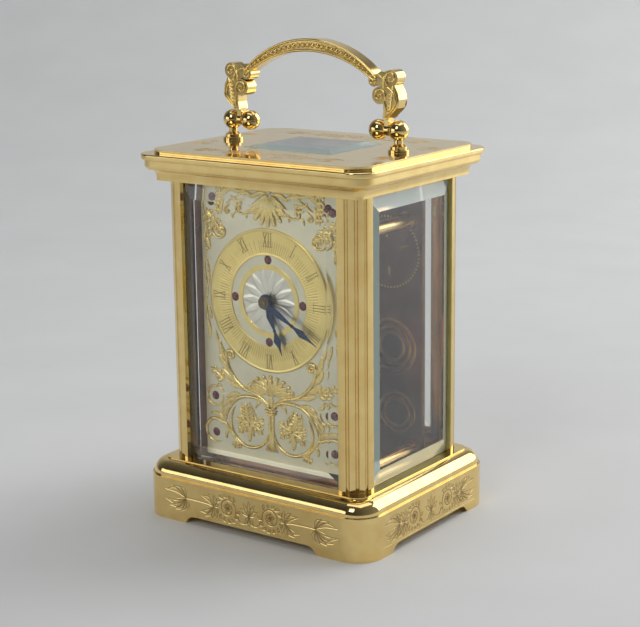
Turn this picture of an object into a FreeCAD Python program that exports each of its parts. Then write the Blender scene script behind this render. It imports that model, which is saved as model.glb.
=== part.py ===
import FreeCAD, Part

# Carriage clock: a glazed, gilt brass case with a folding handle, and its time-only lever movement.
# Axes: +X along the front from left to right, +Y from front to back, +Z up.
# Origin: the middle of the footprint, on the surface that the clock stands on. Millimetres.
import math
import os
import re

import Sketcher

Vector = FreeCAD.Vector
Placement = FreeCAD.Placement
Rotation = FreeCAD.Rotation
X_AXIS, Y_AXIS, Z_AXIS = Vector(1, 0, 0), Vector(0, 1, 0), Vector(0, 0, 1)

# ---------------------------------------------------------------- driving dimensions
SIZES = {
    # base
    "base_width": 96.0, "base_depth": 80.5, "base_corner": 10.0, "base_wall": 4.5,
    "foot_length": 20.0, "side_foot_length": 16.2, "foot_slope": 4.0, "foot_height": 2.75,
    "band_top": 15.1, "base_top": 20.6,
    "moulding_inset": 5.4, "deck_under": 17.6, "deck_window_x": 64.0, "deck_window_y": 48.0,
    "floor_x": 70.0, "floor_y": 58.0, "floor_thick": 2.0,
    "panel_margin": 0.5, "panel_under": 3.4, "panel_top": 14.3, "panel_depth": 0.45,
    # columns and cornice
    "column_top": 119.3, "column_radius": 8.45, "opening_half_x": 32.3, "opening_half_y": 24.6,
    "flute_radius": 0.62, "slot_depth": 1.45,
    "cornice_inset": 0.3, "cornice_corner": 8.0, "cornice_top": 128.6, "cornice_deck": 122.3,
    "cove_inset": 5.5, "torus_inset": 1.5, "torus_under": 123.5, "fascia_under": 126.6,
    "plate_inset": 3.7, "plate_corner": 7.6, "plate_top": 129.95,
    # glass
    "glass_thick": 3.0, "glass_edge": 1.2, "glass_bevel": 5.8, "front_glass_face": 32.45,
    "side_glass_face": 40.25, "glass_gap": 0.05,
    "top_glass_x": 37.0, "top_glass_y": 31.0, "top_glass_bevel": 4.4, "top_glass_ledge": 129.25,
    "top_glass_top": 131.0, "top_ledge_width": 1.4,
    # handle
    "pivot_height": 137.2, "post_x": 34.7, "pivot_ball_x": 26.9, "ball_radius": 3.45,
    "eye_outer_x": 31.65, "eye_inner_x": 29.95, "eye_radius": 2.0, "pivot_pin_radius": 1.25,
    "bow_centre": 127.8, "bow_outer": 38.6, "bow_depth": 5.0, "bow_hollow_centre": 118.9,
    "bow_hollow_radius": 43.1,
    # rear door
    "hinge_x": 30.4, "hinge_y": 31.3, "door_half_thick": 1.7, "door_side": 32.1, "door_gap": 0.3,
    "door_stile": 5.5, "door_rebate": 1.7, "door_glass_thick": 2.8, "hinge_pin_radius": 0.8,
    # dial and hands
    "dial_face": 25.2, "dial_thick": 1.2, "dial_half_width": 28.5, "dial_bottom": 23.6,
    "dial_top": 117.4, "dial_centre": 80.4, "chapter_outer": 24.8, "chapter_inner": 15.7,
    "silver_inner": 12.6, "gilt_inner": 10.9, "ruby_orbit": 14.2, "ruby_radius": 1.75,
    "corner_ruby_radius": 1.55, "corner_ruby_x": 24.2,
    "minute_hand": 24.5, "hour_hand": 18.8, "hand_thick": 0.35,
    # movement
    "plate_half_x": 31.0, "movement_top": 112.0, "front_plate_y": -19.5, "back_plate_y": 18.0,
    "wing_half_x": 36.2, "wing_top": 118.6, "wing_bottom": 21.0, "platform_gap": 16.5,
    "plate_thick": 2.0, "pillar_radius": 2.65,
    "barrel_z": 48.2, "barrel_radius": 17.4, "running_gap": 0.04,
}
ALIASES = re.compile(r"\b(" + "|".join(SIZES) + r")\b")

doc = FreeCAD.newDocument("CarriageClock")
sheet = doc.addObject("Spreadsheet::Sheet", "Sizes")
for row, (alias, amount) in enumerate(SIZES.items(), 1):
    sheet.set(f"A{row}", alias)
    sheet.set(f"B{row}", str(amount))
    sheet.setAlias(f"B{row}", alias)
doc.recompute()

pieces = []


# ---------------------------------------------------------------- document helpers
def bound(expression):
    """The expression as other objects of the document write it, with the sheet's name."""
    return ALIASES.sub(r"Sizes.\g<0>", str(expression))


def number(expression):
    """The value of an expression of the sheet's cells."""
    return float(sheet.evalExpression(str(expression)))


def bind(item, **expressions):
    """Binds properties to expressions; Base_x and the like stand for Placement.Base.x."""
    for name, expression in expressions.items():
        path = "Placement." + name.replace("_", ".") if name.startswith("Base_") else name
        item.setExpression(path, bound(expression))
    return item


def keep(item, label):
    """Makes an object one of the clock's pieces, under the name of its file."""
    item.Label = label
    pieces.append(item)
    return item


def primitive(kind, turn=None, **expressions):
    """A Part primitive, its sizes and place bound to the sheet; turn is an axis and an angle."""
    item = doc.addObject("Part::" + kind, kind)
    if turn:
        item.Placement = Placement(Vector(), Rotation(*turn))
    return bind(item, **expressions)


def fuse(*items):
    joined = doc.addObject("Part::MultiFuse", "Fuse")
    joined.Shapes = list(items)
    joined.Refine = True
    return joined


def cut(base, *tools):
    result = doc.addObject("Part::Cut", "Cut")
    result.Base = base
    result.Tool = tools[0] if len(tools) == 1 else fuse(*tools)
    return result


def feature(shape, label):
    """A piece whose shape is worked out by Part's own functions."""
    item = doc.addObject("Part::Feature", label)
    item.Shape = shape
    return keep(item, label)


def new_body(label):
    return keep(doc.addObject("PartDesign::Body", label), label)


def new_sketch(body, role, lift=None):
    """A sketch on one of the body's origin planes, lifted along its normal by an expression."""
    sketch = body.newObject("Sketcher::SketchObject", "Sketch")
    plane = next(item for item in body.Origin.OriginFeatures if item.Role == role)
    sketch.AttachmentSupport = [(plane, "")]
    sketch.MapMode = "FlatFace"
    if lift is not None:
        sketch.setExpression("AttachmentOffset.Base.z", bound(lift))
    return sketch


def hold(sketch, kind, curve, point, expression):
    """Holds a point at a distance from the sketch's origin, or on its axis where that is zero."""
    distance = number(expression)
    if abs(distance) < 1e-9:
        axis = -2 if kind == "DistanceX" else -1
        sketch.addConstraint(Sketcher.Constraint("PointOnObject", curve, point, axis))
        return
    index = sketch.addConstraint(Sketcher.Constraint(kind, -1, 1, curve, point, distance))
    sketch.setExpression(f"Constraints[{index}]", bound(expression))


def outline(sketch, steps):
    """A closed outline. A step (x, y) is a line to that point, and (x, y, cx, cy, turn) is an arc
    to it about (cx, cy), anticlockwise where turn is 1 and clockwise where it is -1."""
    points = [Vector(number(step[0]), number(step[1]), 0) for step in steps]
    curves = []
    for index, step in enumerate(steps):
        start, end = points[index - 1], points[index]
        if len(step) == 2:
            curves.append((sketch.addGeometry(Part.LineSegment(start, end)), 1, 2))
            continue
        centre = Vector(number(step[2]), number(step[3]), 0)
        first, last = (start, end) if step[4] > 0 else (end, start)
        low = math.atan2(first.y - centre.y, first.x - centre.x)
        high = math.atan2(last.y - centre.y, last.x - centre.x)
        high += 2 * math.pi if high < low else 0
        radius = (first - centre).Length
        arc = Part.ArcOfCircle(Part.Circle(centre, Z_AXIS, radius), low, high)
        curve = sketch.addGeometry(arc)
        sketch.addConstraint(Sketcher.Constraint("Radius", curve, radius))
        curves.append((curve, 1, 2) if step[4] > 0 else (curve, 2, 1))
    for (curve, _, end), (after, start, _), step in zip(curves, curves[1:] + curves[:1], steps):
        sketch.addConstraint(Sketcher.Constraint("Coincident", curve, end, after, start))
        hold(sketch, "DistanceX", curve, end, step[0])
        hold(sketch, "DistanceY", curve, end, step[1])


def circle(sketch, x, y, radius):
    centre = Vector(number(x), number(y), 0)
    curve = sketch.addGeometry(Part.Circle(centre, Z_AXIS, number(radius)))
    index = sketch.addConstraint(Sketcher.Constraint("Radius", curve, number(radius)))
    sketch.setExpression(f"Constraints[{index}]", bound(radius))
    hold(sketch, "DistanceX", curve, 3, x)
    hold(sketch, "DistanceY", curve, 3, y)


def rounded_rectangle(width, depth, radius):
    """Steps of a rounded rectangle about the sketch's origin."""
    steps = []
    for side_x, side_y, turned in ((1, 1, 0), (-1, 1, 1), (-1, -1, 0), (1, -1, 1)):
        x, y = f"{side_x} * ({width}) / 2", f"{side_y} * ({depth}) / 2"
        centre_x, centre_y = f"{x} - {side_x} * ({radius})", f"{y} - {side_y} * ({radius})"
        if turned:
            steps += [(centre_x, y), (x, centre_y, centre_x, centre_y, 1)]
        else:
            steps += [(x, centre_y), (centre_x, y, centre_x, centre_y, 1)]
    return steps


def rectangle(x_low, x_high, y_low, y_high):
    return [(x_low, y_low), (x_high, y_low), (x_high, y_high), (x_low, y_high)]


def pad(body, sketch, length, midplane=False, backwards=False):
    solid = body.newObject("PartDesign::Pad", "Pad")
    solid.Profile = sketch
    solid.Midplane = midplane
    solid.Reversed = backwards
    solid.setExpression("Length", bound(length))
    return solid


def pocket_through(body, sketch):
    """Cuts a sketch right through the body, both ways from the sketch's plane."""
    hollow = body.newObject("PartDesign::Pocket", "Pocket")
    hollow.Profile = sketch
    hollow.Type = "ThroughAll"
    hollow.Midplane = True
    return hollow


def pocket_to_depth(body, sketch, depth, backwards=False):
    hollow = body.newObject("PartDesign::Pocket", "Pocket")
    hollow.Profile = sketch
    hollow.Reversed = backwards
    hollow.setExpression("Length", bound(depth))
    return hollow


def run_moulding(body, section, spine_steps):
    """Runs a moulding's section, drawn on the XZ plane, once round a rounded rectangle."""
    spine = new_sketch(body, "XY_Plane")
    outline(spine, spine_steps)
    profile = new_sketch(body, "XZ_Plane")
    outline(profile, section)
    doc.recompute()
    moulding = body.newObject("PartDesign::AdditivePipe", "Moulding")
    moulding.Profile = profile
    moulding.Spine = (spine, [f"Edge{index + 1}" for index in range(len(spine_steps))])
    return moulding


def turned(body, section, axis="V_Axis"):
    """Turns a section drawn on the XZ plane about the sketch's vertical axis."""
    profile = new_sketch(body, "XZ_Plane")
    outline(profile, section)
    solid = body.newObject("PartDesign::Revolution", "Turned")
    solid.Profile = profile
    solid.ReferenceAxis = (profile, [axis])
    solid.Angle = 360
    return solid


def corners(x, y):
    """The four points (+-x, +-y), as expressions."""
    return [(f"{side_x} * ({x})", f"{side_y} * ({y})") for side_x in (-1, 1) for side_y in (-1, 1)]


def stand_on_y(shape, x, z, back):
    """Lays a shape built along +Z on an axis along Y: its z = 0 goes to y = back, +Z to -Y."""
    turn = Rotation(X_AXIS, 90)
    return shape.transformed(Placement(Vector(x, back, z), turn).toMatrix())


def ring(outer, inner, back, front, centre=None, start=0.0, sweep=360.0):
    """Ring, or a sector of one from a start angle anticlockwise, on an axis along Y."""
    x, z = centre or (0.0, number("dial_centre"))
    body = Part.makeCylinder(outer, back - front, Vector(), Z_AXIS, sweep)
    if inner > 0:
        body = body.cut(Part.makeCylinder(inner, back - front))
    body.rotate(Vector(), Z_AXIS, start)
    return stand_on_y(body, x, z, back)


# ---------------------------------------------------------------- case
COLUMN_SCREW_X, COLUMN_SCREW_Y = "opening_half_x + 3.5", "opening_half_y + 3.5"
CASE_SCREW = (2.6, 1.8), (1.5, 10)
FLOOR_SCREW_X, FLOOR_SCREW_Y = 14, 26.2
PILLAR_X = 27.4


def base_plinth():
    """Moulded base on four corner feet, with a windowed deck that the columns stand on.

    The flat of each side has a shallow panel, cut back for the engraved ornament.
    """
    body = new_body("base_plinth")
    edge = "base_width / 2"
    section = [
        (edge, "0"), (edge, "band_top"), (f"{edge} - 0.7", "band_top"),
        (f"{edge} - 0.7", "band_top + 0.5"),
        (f"{edge} - moulding_inset + 0.3", "base_top - 0.55", f"{edge} - moulding_inset + 0.3 - 0.2",
         "band_top + 0.35", 1),
        (f"{edge} - moulding_inset", "base_top - 0.55"), (f"{edge} - moulding_inset", "base_top"),
        (f"{edge} - 9", "base_top"), (f"{edge} - 9", "deck_under"),
        (f"{edge} - base_wall", "deck_under - 2"), (f"{edge} - base_wall", "0"),
    ]
    run_moulding(body, section, rounded_rectangle("base_width", "base_depth", "base_corner"))
    deck = new_sketch(body, "XY_Plane", "deck_under")
    outline(deck, rounded_rectangle("base_width - 17", "base_depth - 17", "1.5"))
    outline(deck, rounded_rectangle("deck_window_x", "deck_window_y", "2"))
    for x, y in corners(COLUMN_SCREW_X, COLUMN_SCREW_Y):
        circle(deck, x, y, "1.55")
    for x, y in corners(FLOOR_SCREW_X, FLOOR_SCREW_Y):
        circle(deck, x, y, "1.22")
    pad(body, deck, "base_top - deck_under")
    doc.recompute()
    sides = (("XZ_Plane", "base_width", "base_depth", "foot_length"),
             ("YZ_Plane", "base_depth", "base_width", "side_foot_length"))
    drop = "(foot_height ^ 2 - foot_slope ^ 2) / (2 * foot_height)"
    for role, span, across, foot in sides:
        arch = new_sketch(body, role)
        end = f"({span}) / 2 - {foot}"
        inner = f"{end} - foot_slope"
        outline(arch, [
            (f"-({end})", "-1"), (end, "-1"), (end, "0"),
            (inner, "foot_height", inner, drop, 1),
            (f"-({inner})", "foot_height"),
            (f"-({end})", "0", f"-({inner})", drop, 1),
        ])
        pocket_through(body, arch)
        panel_end = f"({span}) / 2 - base_corner - panel_margin"
        for side in (1, -1):
            panel = new_sketch(body, role, f"{side} * ({across}) / 2")
            outline(panel, rectangle(f"-({panel_end})", panel_end, "panel_under", "panel_top"))
            pocket_to_depth(body, panel, "panel_depth", backwards=side < 0)
    socket = new_sketch(body, "XY_Plane", "base_top")
    circle(socket, "-hinge_x", "hinge_y", "hinge_pin_radius + running_gap")
    pocket_to_depth(body, socket, "2.2")


def base_floor_plate():
    """Floor inside the base, under the deck, which carries the movement."""
    body = new_body("base_floor_plate")
    sketch = new_sketch(body, "XY_Plane", "deck_under - floor_thick")
    outline(sketch, rounded_rectangle("floor_x", "floor_y", "8"))
    for side in (-1, 1):
        circle(sketch, side * PILLAR_X, "0", "1.3")
    for x, y in corners(FLOOR_SCREW_X, FLOOR_SCREW_Y):
        circle(sketch, x, y, "1.3")
    pad(body, sketch, "floor_thick")


def screw_group(places, head, shank, axis):
    """Like screws. A place is the point under a head, and the axis is the way in."""
    turn = Rotation(Z_AXIS, axis)
    head_radius, head_height = head
    shank_radius, shank_length = shank
    slot_width = head_radius * 0.28
    one = Part.makeCylinder(head_radius, head_height, Vector(0, 0, -head_height))
    one = one.fuse(Part.makeCylinder(shank_radius, shank_length)).removeSplitter()
    slot = Part.makeBox(head_radius * 3, slot_width, head_height * 0.4,
                        Vector(-head_radius * 1.5, -slot_width / 2, -head_height))
    one = one.cut(slot)
    return [one.transformed(Placement(Vector(*place), turn).toMatrix()) for place in places]


def column(label, side_x, side_y):
    """Fluted quarter-round corner column, slotted for the edges of its two glasses."""
    start = {(1, 1): 0, (-1, 1): 90, (-1, -1): 180, (1, -1): 270}[side_x, side_y]
    height = "column_top - base_top"
    place = {"Base_x": f"{side_x} * opening_half_x", "Base_y": f"{side_y} * opening_half_y"}
    shaft = primitive("Cylinder", (Z_AXIS, start), Radius="column_radius", Height=height,
                      Base_z="base_top", **place)
    shaft.Angle = 90
    tools = []
    for angle in (22.5, 45, 67.5):
        heading = math.radians(start + angle)
        tools.append(primitive(
            "Cylinder", Radius="flute_radius", Height=height, Base_z="base_top",
            Base_x=f"{side_x} * opening_half_x + {math.cos(heading):.6f} * column_radius",
            Base_y=f"{side_y} * opening_half_y + {math.sin(heading):.6f} * column_radius"))
    slot = "glass_edge + slot_depth * (glass_thick - glass_edge) / glass_bevel + 2 * glass_gap"
    inner_y = "front_glass_face - glass_thick - glass_gap"
    inner_x = "side_glass_face - glass_thick - glass_gap"
    if side_y < 0:
        low = f"-({inner_y}) - ({slot})"
        tools.append(primitive(
            "Box", Length="slot_depth + 1", Width=slot, Height=height, Base_z="base_top",
            Base_x=f"{side_x} * (opening_half_x + (slot_depth - 1) / 2) - (slot_depth + 1) / 2",
            Base_y=low))
    low = inner_x if side_x > 0 else f"-({inner_x}) - ({slot})"
    tools.append(primitive(
        "Box", Length=slot, Width="slot_depth + 1", Height=height, Base_z="base_top", Base_x=low,
        Base_y=f"{side_y} * (opening_half_y + (slot_depth - 1) / 2) - (slot_depth + 1) / 2"))
    for end in ("base_top", "column_top - 9"):
        tools.append(primitive(
            "Cylinder", Radius="1.52", Height="9", Base_z=end,
            Base_x=f"{side_x} * ({COLUMN_SCREW_X})", Base_y=f"{side_y} * ({COLUMN_SCREW_Y})"))
    keep(cut(shaft, *tools), label)


def cornice():
    """Top moulding: cove, torus and fascia, with a windowed deck over the columns."""
    body = new_body("cornice")
    edge = "base_width / 2"
    out, torus = f"{edge} - cornice_inset", f"{edge} - torus_inset"
    cove, cove_foot = f"{edge} - cove_inset", "column_top + 0.9"
    hollow_edge = f"{torus} - 0.9"
    section = [
        (cove, "column_top"), (cove, cove_foot),
        (hollow_edge, f"{cove_foot} + cove_inset - torus_inset - 0.9", hollow_edge, cove_foot, -1),
        (hollow_edge, "torus_under"),
        (torus, "torus_under + 0.9", hollow_edge, "torus_under + 0.9", 1),
        (torus, "fascia_under"), (f"{out} - 0.6", "fascia_under"),
        (out, "fascia_under + 0.6", f"{out} - 0.6", "fascia_under + 0.6", 1),
        (out, "cornice_top - 0.5"),
        (f"{out} - 0.5", "cornice_top", f"{out} - 0.5", "cornice_top - 0.5", 1),
        (f"{edge} - 7.6", "cornice_top"), (f"{edge} - 7.6", "column_top"),
    ]
    run_moulding(body, section, rounded_rectangle(
        "base_width - 2 * cornice_inset", "base_depth - 2 * cornice_inset", "cornice_corner"))
    deck = new_sketch(body, "XY_Plane", "column_top")
    outline(deck, rounded_rectangle("base_width - 14.6", "base_depth - 14.6", "1"))
    outline(deck, rounded_rectangle("deck_window_x", "deck_window_y", "2"))
    for x, y in corners(COLUMN_SCREW_X, COLUMN_SCREW_Y):
        circle(deck, x, y, "1.55")
    pad(body, deck, "cornice_deck - column_top")
    socket = new_sketch(body, "XY_Plane", "column_top")
    circle(socket, "-hinge_x", "hinge_y", "hinge_pin_radius + running_gap")
    pocket_to_depth(body, socket, "2.2", backwards=True)


def top_plate():
    """Cover plate with a rebated window for the top glass and two holes for the handle posts."""
    body = new_body("top_plate")
    plate = new_sketch(body, "XY_Plane", "cornice_top")
    outline(plate, rounded_rectangle("base_width - 2 * plate_inset", "base_depth - 2 * plate_inset",
                                     "plate_corner"))
    ledge = "2 * top_ledge_width"
    outline(plate, rounded_rectangle(f"top_glass_x - {ledge}", f"top_glass_y - {ledge}", "0.8"))
    for side in (-1, 1):
        circle(plate, f"{side} * post_x", "0", "1.55")
    pad(body, plate, "plate_top - cornice_top")
    rebate = new_sketch(body, "XY_Plane", "plate_top")
    outline(rebate, rectangle("-top_glass_x / 2 - glass_gap", "top_glass_x / 2 + glass_gap",
                              "-top_glass_y / 2 - glass_gap", "top_glass_y / 2 + glass_gap"))
    pocket_to_depth(body, rebate, "plate_top - top_glass_ledge")


def bevelled_glass(label, width, height, thick, edge, bevel, place, turns=()):
    """Bevelled pane. Modelled with its flat back on y = 0 and its bevelled face towards -Y."""
    slab = primitive("Box", Length=width, Width=edge, Height=height, Base_x=f"-({width}) / 2",
                     Base_y=f"-({edge})", Base_z=f"-({height}) / 2")
    frustum = primitive(
        "Wedge", Xmin=f"-({width}) / 2 + {bevel}", Xmax=f"({width}) / 2 - {bevel}",
        Zmin=f"-({height}) / 2 + {bevel}", Zmax=f"({height}) / 2 - {bevel}",
        X2min=f"-({width}) / 2", X2max=f"({width}) / 2", Z2min=f"-({height}) / 2",
        Z2max=f"({height}) / 2", Ymin=f"-({thick})", Ymax=f"-({edge})")
    pane = fuse(slab, frustum)
    rotation = Rotation()
    for axis, angle in turns:
        rotation = Rotation(axis, angle).multiply(rotation)
    pane.Placement = Placement(Vector(), rotation)
    bind(pane, **{f"Base_{name}": value for name, value in zip("xyz", place)})
    keep(pane, label)


def case_glasses():
    height = "column_top - base_top - 2 * glass_gap"
    middle = "(column_top + base_top) / 2"
    sizes = ("glass_thick", "glass_edge", "glass_bevel")
    edge_in = "2 * (slot_depth - glass_gap)"
    bevelled_glass("front_glass", f"2 * opening_half_x + {edge_in}", height, *sizes,
                   ("0", "-(front_glass_face - glass_thick)", middle))
    for label, side in (("left_glass", -1), ("right_glass", 1)):
        bevelled_glass(label, f"2 * opening_half_y + {edge_in}", height, *sizes,
                       (f"{side} * (side_glass_face - glass_thick)", "0", middle),
                       [(Z_AXIS, 90 * side)])
    bevelled_glass("top_glass", "top_glass_x", "top_glass_y", "top_glass_top - top_glass_ledge",
                   "plate_top - top_glass_ledge", "top_glass_bevel", ("0", "0", "top_glass_ledge"),
                   [(X_AXIS, -90)])


def case_fasteners():
    column_x, column_y = number(COLUMN_SCREW_X), number(COLUMN_SCREW_Y)
    spots = [(x, y) for x in (-column_x, column_x) for y in (-column_y, column_y)]
    lower = screw_group([(x, y, number("deck_under")) for x, y in spots], *CASE_SCREW, Z_AXIS)
    upper = screw_group([(x, y, number("cornice_deck")) for x, y in spots], *CASE_SCREW, -Z_AXIS)
    feature(Part.makeCompound(lower + upper), "case_screws")
    under_floor = number("deck_under - floor_thick")
    spots = [(x, y, under_floor) for x in (-FLOOR_SCREW_X, FLOOR_SCREW_X)
             for y in (-FLOOR_SCREW_Y, FLOOR_SCREW_Y)]
    spots += [(x, 0, under_floor) for x in (-PILLAR_X, PILLAR_X)]
    feature(Part.makeCompound(screw_group(spots, (2.1, 1.5), (1.2, 4.8), Z_AXIS)), "floor_screws")


# ---------------------------------------------------------------- handle
def handle_post(label, side):
    """Turned post: stepped collar, neck and a ball with a flat for the handle's eye."""
    body = new_body(label)
    foot, ball = "plate_top", "pivot_height"
    neck = "1.5"
    neck_top = "pivot_height - sqrt(ball_radius ^ 2 - 1.5 ^ 2)"
    turned(body, [
        ("0", "cornice_top - 3"), (neck, "cornice_top - 3"), (neck, foot), ("3.6", foot),
        ("3.6", f"{foot} + 1"), ("2.9", f"{foot} + 1"), ("2.9", f"{foot} + 2.1"),
        (neck, f"{foot} + 2.9"), (neck, neck_top),
        ("0", "pivot_height + ball_radius", "0", ball, 1),
    ])
    flat = new_sketch(body, "XZ_Plane")
    ends = ["post_x - eye_outer_x - glass_gap", "ball_radius + 1"]
    if side > 0:
        ends = [f"-({end})" for end in reversed(ends)]
    outline(flat, rectangle(*ends, "pivot_height - ball_radius - 0.5",
                            "pivot_height + ball_radius + 1"))
    pocket_through(body, flat)
    bore = new_sketch(body, "YZ_Plane", f"{-side} * ball_radius")
    circle(bore, "0", "pivot_height", "pivot_pin_radius + 0.02")
    pocket_to_depth(body, bore, "ball_radius + 1.3", backwards=side > 0)
    bind(body, Base_x=f"{side} * post_x")


def handle_pivot_screws():
    """Ball-headed screws that pass through the handle's eyes into the posts."""
    both = []
    for side in (-1, 1):
        centre = Vector(side * number("pivot_ball_x"), 0, number("pivot_height"))
        flat = number("eye_inner_x - glass_gap")
        ball = Part.makeSphere(number("ball_radius"), centre)
        beyond = Part.makeBox(10, 20, 20, Vector(flat if side > 0 else -flat - 10, -10,
                                                 centre.z - 10))
        reach = number("post_x + 1.2") - centre.x * side
        pin = Part.makeCylinder(number("pivot_pin_radius"), reach, centre, Vector(side, 0, 0))
        both.append(ball.cut(beyond).fuse(pin).removeSplitter())
    feature(Part.makeCompound(both), "handle_pivot_screws")


def handle_post_nuts():
    """Round nuts that hold the posts from under the top plate."""
    nuts = []
    for side in (-1, 1):
        under = Vector(side * number("post_x"), 0, number("cornice_top") - 1.8)
        nut = Part.makeCylinder(3.0, 1.8, under)
        nuts.append(nut.cut(Part.makeCylinder(1.52, 1.8, under)))
    feature(Part.makeCompound(nuts), "handle_post_nuts")


def flat_piece(points, depth):
    """A prism of a closed outline in the XZ plane, centred on y = 0."""
    wire = Part.makePolygon([Vector(x, -depth / 2, z) for x, z in points + points[:1]])
    return Part.Face(wire).extrude(Vector(0, depth, 0))


def disc(x, z, radius, depth):
    return Part.makeCylinder(radius, depth, Vector(x, -depth / 2, z), Y_AXIS)


BOW_START = 43.0


def handle_bow():
    """Arched grip that ends in scrolled brackets, whose feet carry the pivot eyes.

    The arch is hollowed about a lower centre than its own, so it thins towards its ends.
    """
    depth, outer = number("bow_depth"), number("bow_outer")
    arch = ring(outer, outer / 2, depth / 2, -depth / 2, (0.0, number("bow_centre")),
                BOW_START, 180 - 2 * BOW_START)
    arch = arch.cut(disc(0.0, number("bow_hollow_centre"), number("bow_hollow_radius"), depth))
    pivot = number("pivot_height")
    eye_in, eye_out = number("eye_inner_x"), number("eye_outer_x")
    brackets = []
    for side in (-1, 1):
        body = flat_piece([
            (side * x, pivot + rise) for x, rise in (
                (24.8, 16.4), (29.2, 19.4), (31.6, 19.2), (34.4, 15.4), (36.0, 12.6), (36.4, 10.3),
                (35.7, 7.6), (32.4, 4.2), (eye_out, 3.7), (eye_in, 3.7), (30.3, 6.4),
                (30.2, 8.6), (29.6, 12.0), (30.6, 14.0), (28.2, 14.8))], depth)
        for x, rise, radius in ((33.2, 17.3, 2.7), (26.5, 16.3, 2.05), (28.8, 11.5, 2.9)):
            body = body.fuse(disc(side * x, pivot + rise, radius, depth))
        start = Vector(side * eye_in, 0, pivot)
        eye = Part.makeCylinder(number("eye_radius"), eye_out - eye_in, start, Vector(side, 0, 0))
        neck = Part.makeBox(eye_out - eye_in, 3.0, 4.2,
                            Vector(min(side * eye_in, side * eye_out), -1.5, pivot))
        bore = Part.makeCylinder(number("pivot_pin_radius + running_gap"), 20,
                                 Vector(side * (eye_in - 8), 0, pivot), Vector(side, 0, 0))
        brackets.append(body.fuse([eye, neck]).cut(bore))
    feature(arch.fuse(brackets).removeSplitter(), "handle_bow")


# ---------------------------------------------------------------- rear door
DOOR_BOTTOM, DOOR_TOP = "base_top + door_gap", "column_top - door_gap"


def door_frame():
    """Framed door whose hinge stile is half round about the pins' axis."""
    body = new_body("door_frame")
    plan = new_sketch(body, "XY_Plane", DOOR_BOTTOM)
    front, back = "hinge_y - door_half_thick", "hinge_y + door_half_thick"
    outline(plan, [
        ("door_side", front), ("door_side", back), ("-hinge_x", back),
        ("-door_side", "hinge_y", "-hinge_x", "hinge_y", 1),
        ("-hinge_x", front, "-hinge_x", "hinge_y", 1),
    ])
    pad(body, plan, f"({DOOR_TOP}) - ({DOOR_BOTTOM})")
    doc.recompute()
    window = new_sketch(body, "XZ_Plane")
    low, high = f"{DOOR_BOTTOM} + door_stile", f"{DOOR_TOP} - door_stile"
    side = "door_side - door_stile"
    outline(window, rectangle(f"-({side})", side, low, high))
    pocket_through(body, window)
    rebate = new_sketch(body, "XZ_Plane", f"-({front})")
    outline(rebate, rectangle(f"-({side}) - door_rebate", f"{side} + door_rebate",
                              f"{low} - door_rebate", f"{high} + door_rebate"))
    pocket_to_depth(body, rebate, "1.85", backwards=False)
    for lift, backwards in ((DOOR_BOTTOM, True), (DOOR_TOP, False)):
        bore = new_sketch(body, "XY_Plane", lift)
        circle(bore, "-hinge_x", "hinge_y", "hinge_pin_radius")
        pocket_to_depth(body, bore, "4", backwards=backwards)
    knob_hole = new_sketch(body, "XZ_Plane", f"-({back})")
    circle(knob_hole, "door_side - door_stile / 2", "(base_top + column_top) / 2", "0.9")
    pocket_to_depth(body, knob_hole, "1.4", backwards=True)


def door_fittings():
    width = "2 * (door_side - door_stile) + 2 * door_rebate - 2 * glass_gap"
    height = (f"({DOOR_TOP}) - ({DOOR_BOTTOM}) - 2 * door_stile + 2 * door_rebate"
              " - 2 * glass_gap")
    bevelled_glass("door_glass", width, height, "door_glass_thick", "glass_edge", "glass_bevel",
                   ("0", "hinge_y - door_half_thick + 0.05", "(base_top + column_top) / 2"),
                   [(Z_AXIS, 180)])
    pins = []
    radius = number("hinge_pin_radius")
    for low, length in ((number(DOOR_BOTTOM) - 2.2, 6.2), (number(DOOR_TOP) - 4, 6.2)):
        pins.append(Part.makeCylinder(radius, length,
                                      Vector(-number("hinge_x"), number("hinge_y"), low)))
    feature(Part.makeCompound(pins), "door_hinge_pins")
    knob = new_body("door_knob")
    turned(knob, [("0", "-1.3"), ("0.88", "-1.3"), ("0.88", "0"), ("1.9", "0"), ("1.9", "0.6"),
                  ("1.0", "1.1"), ("1.0", "1.9"), ("2.3", "2.6"), ("2.6", "3.6"),
                  ("2.3", "4.5"), ("1.3", "5.1"), ("0", "5.2")])
    knob.Placement = Placement(Vector(), Rotation(X_AXIS, -90))
    bind(knob, Base_x="door_side - door_stile / 2", Base_y="hinge_y + door_half_thick",
         Base_z="(base_top + column_top) / 2")


# ---------------------------------------------------------------- dial
def on_dial(depth):
    """The y of a plane that stands proud of the dial's silvered face."""
    return -(number("dial_face") + depth)


def dial_plate():
    """Silvered brass dial with a hole for the arbors, on four feet."""
    body = new_body("dial_plate")
    sketch = new_sketch(body, "XZ_Plane", "dial_face - dial_thick")
    outline(sketch, rectangle("-dial_half_width", "dial_half_width", "dial_bottom", "dial_top"))
    circle(sketch, "0", "dial_centre", "2.3")
    pad(body, sketch, "dial_thick")
    doc.recompute()
    feet = new_sketch(body, "XZ_Plane", "dial_face - dial_thick")
    for x in (-25, 25):
        for z in (50, 108):
            circle(feet, x, z, "1.3")
    pad(body, feet, "dial_face - dial_thick + front_plate_y", backwards=True)


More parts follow.
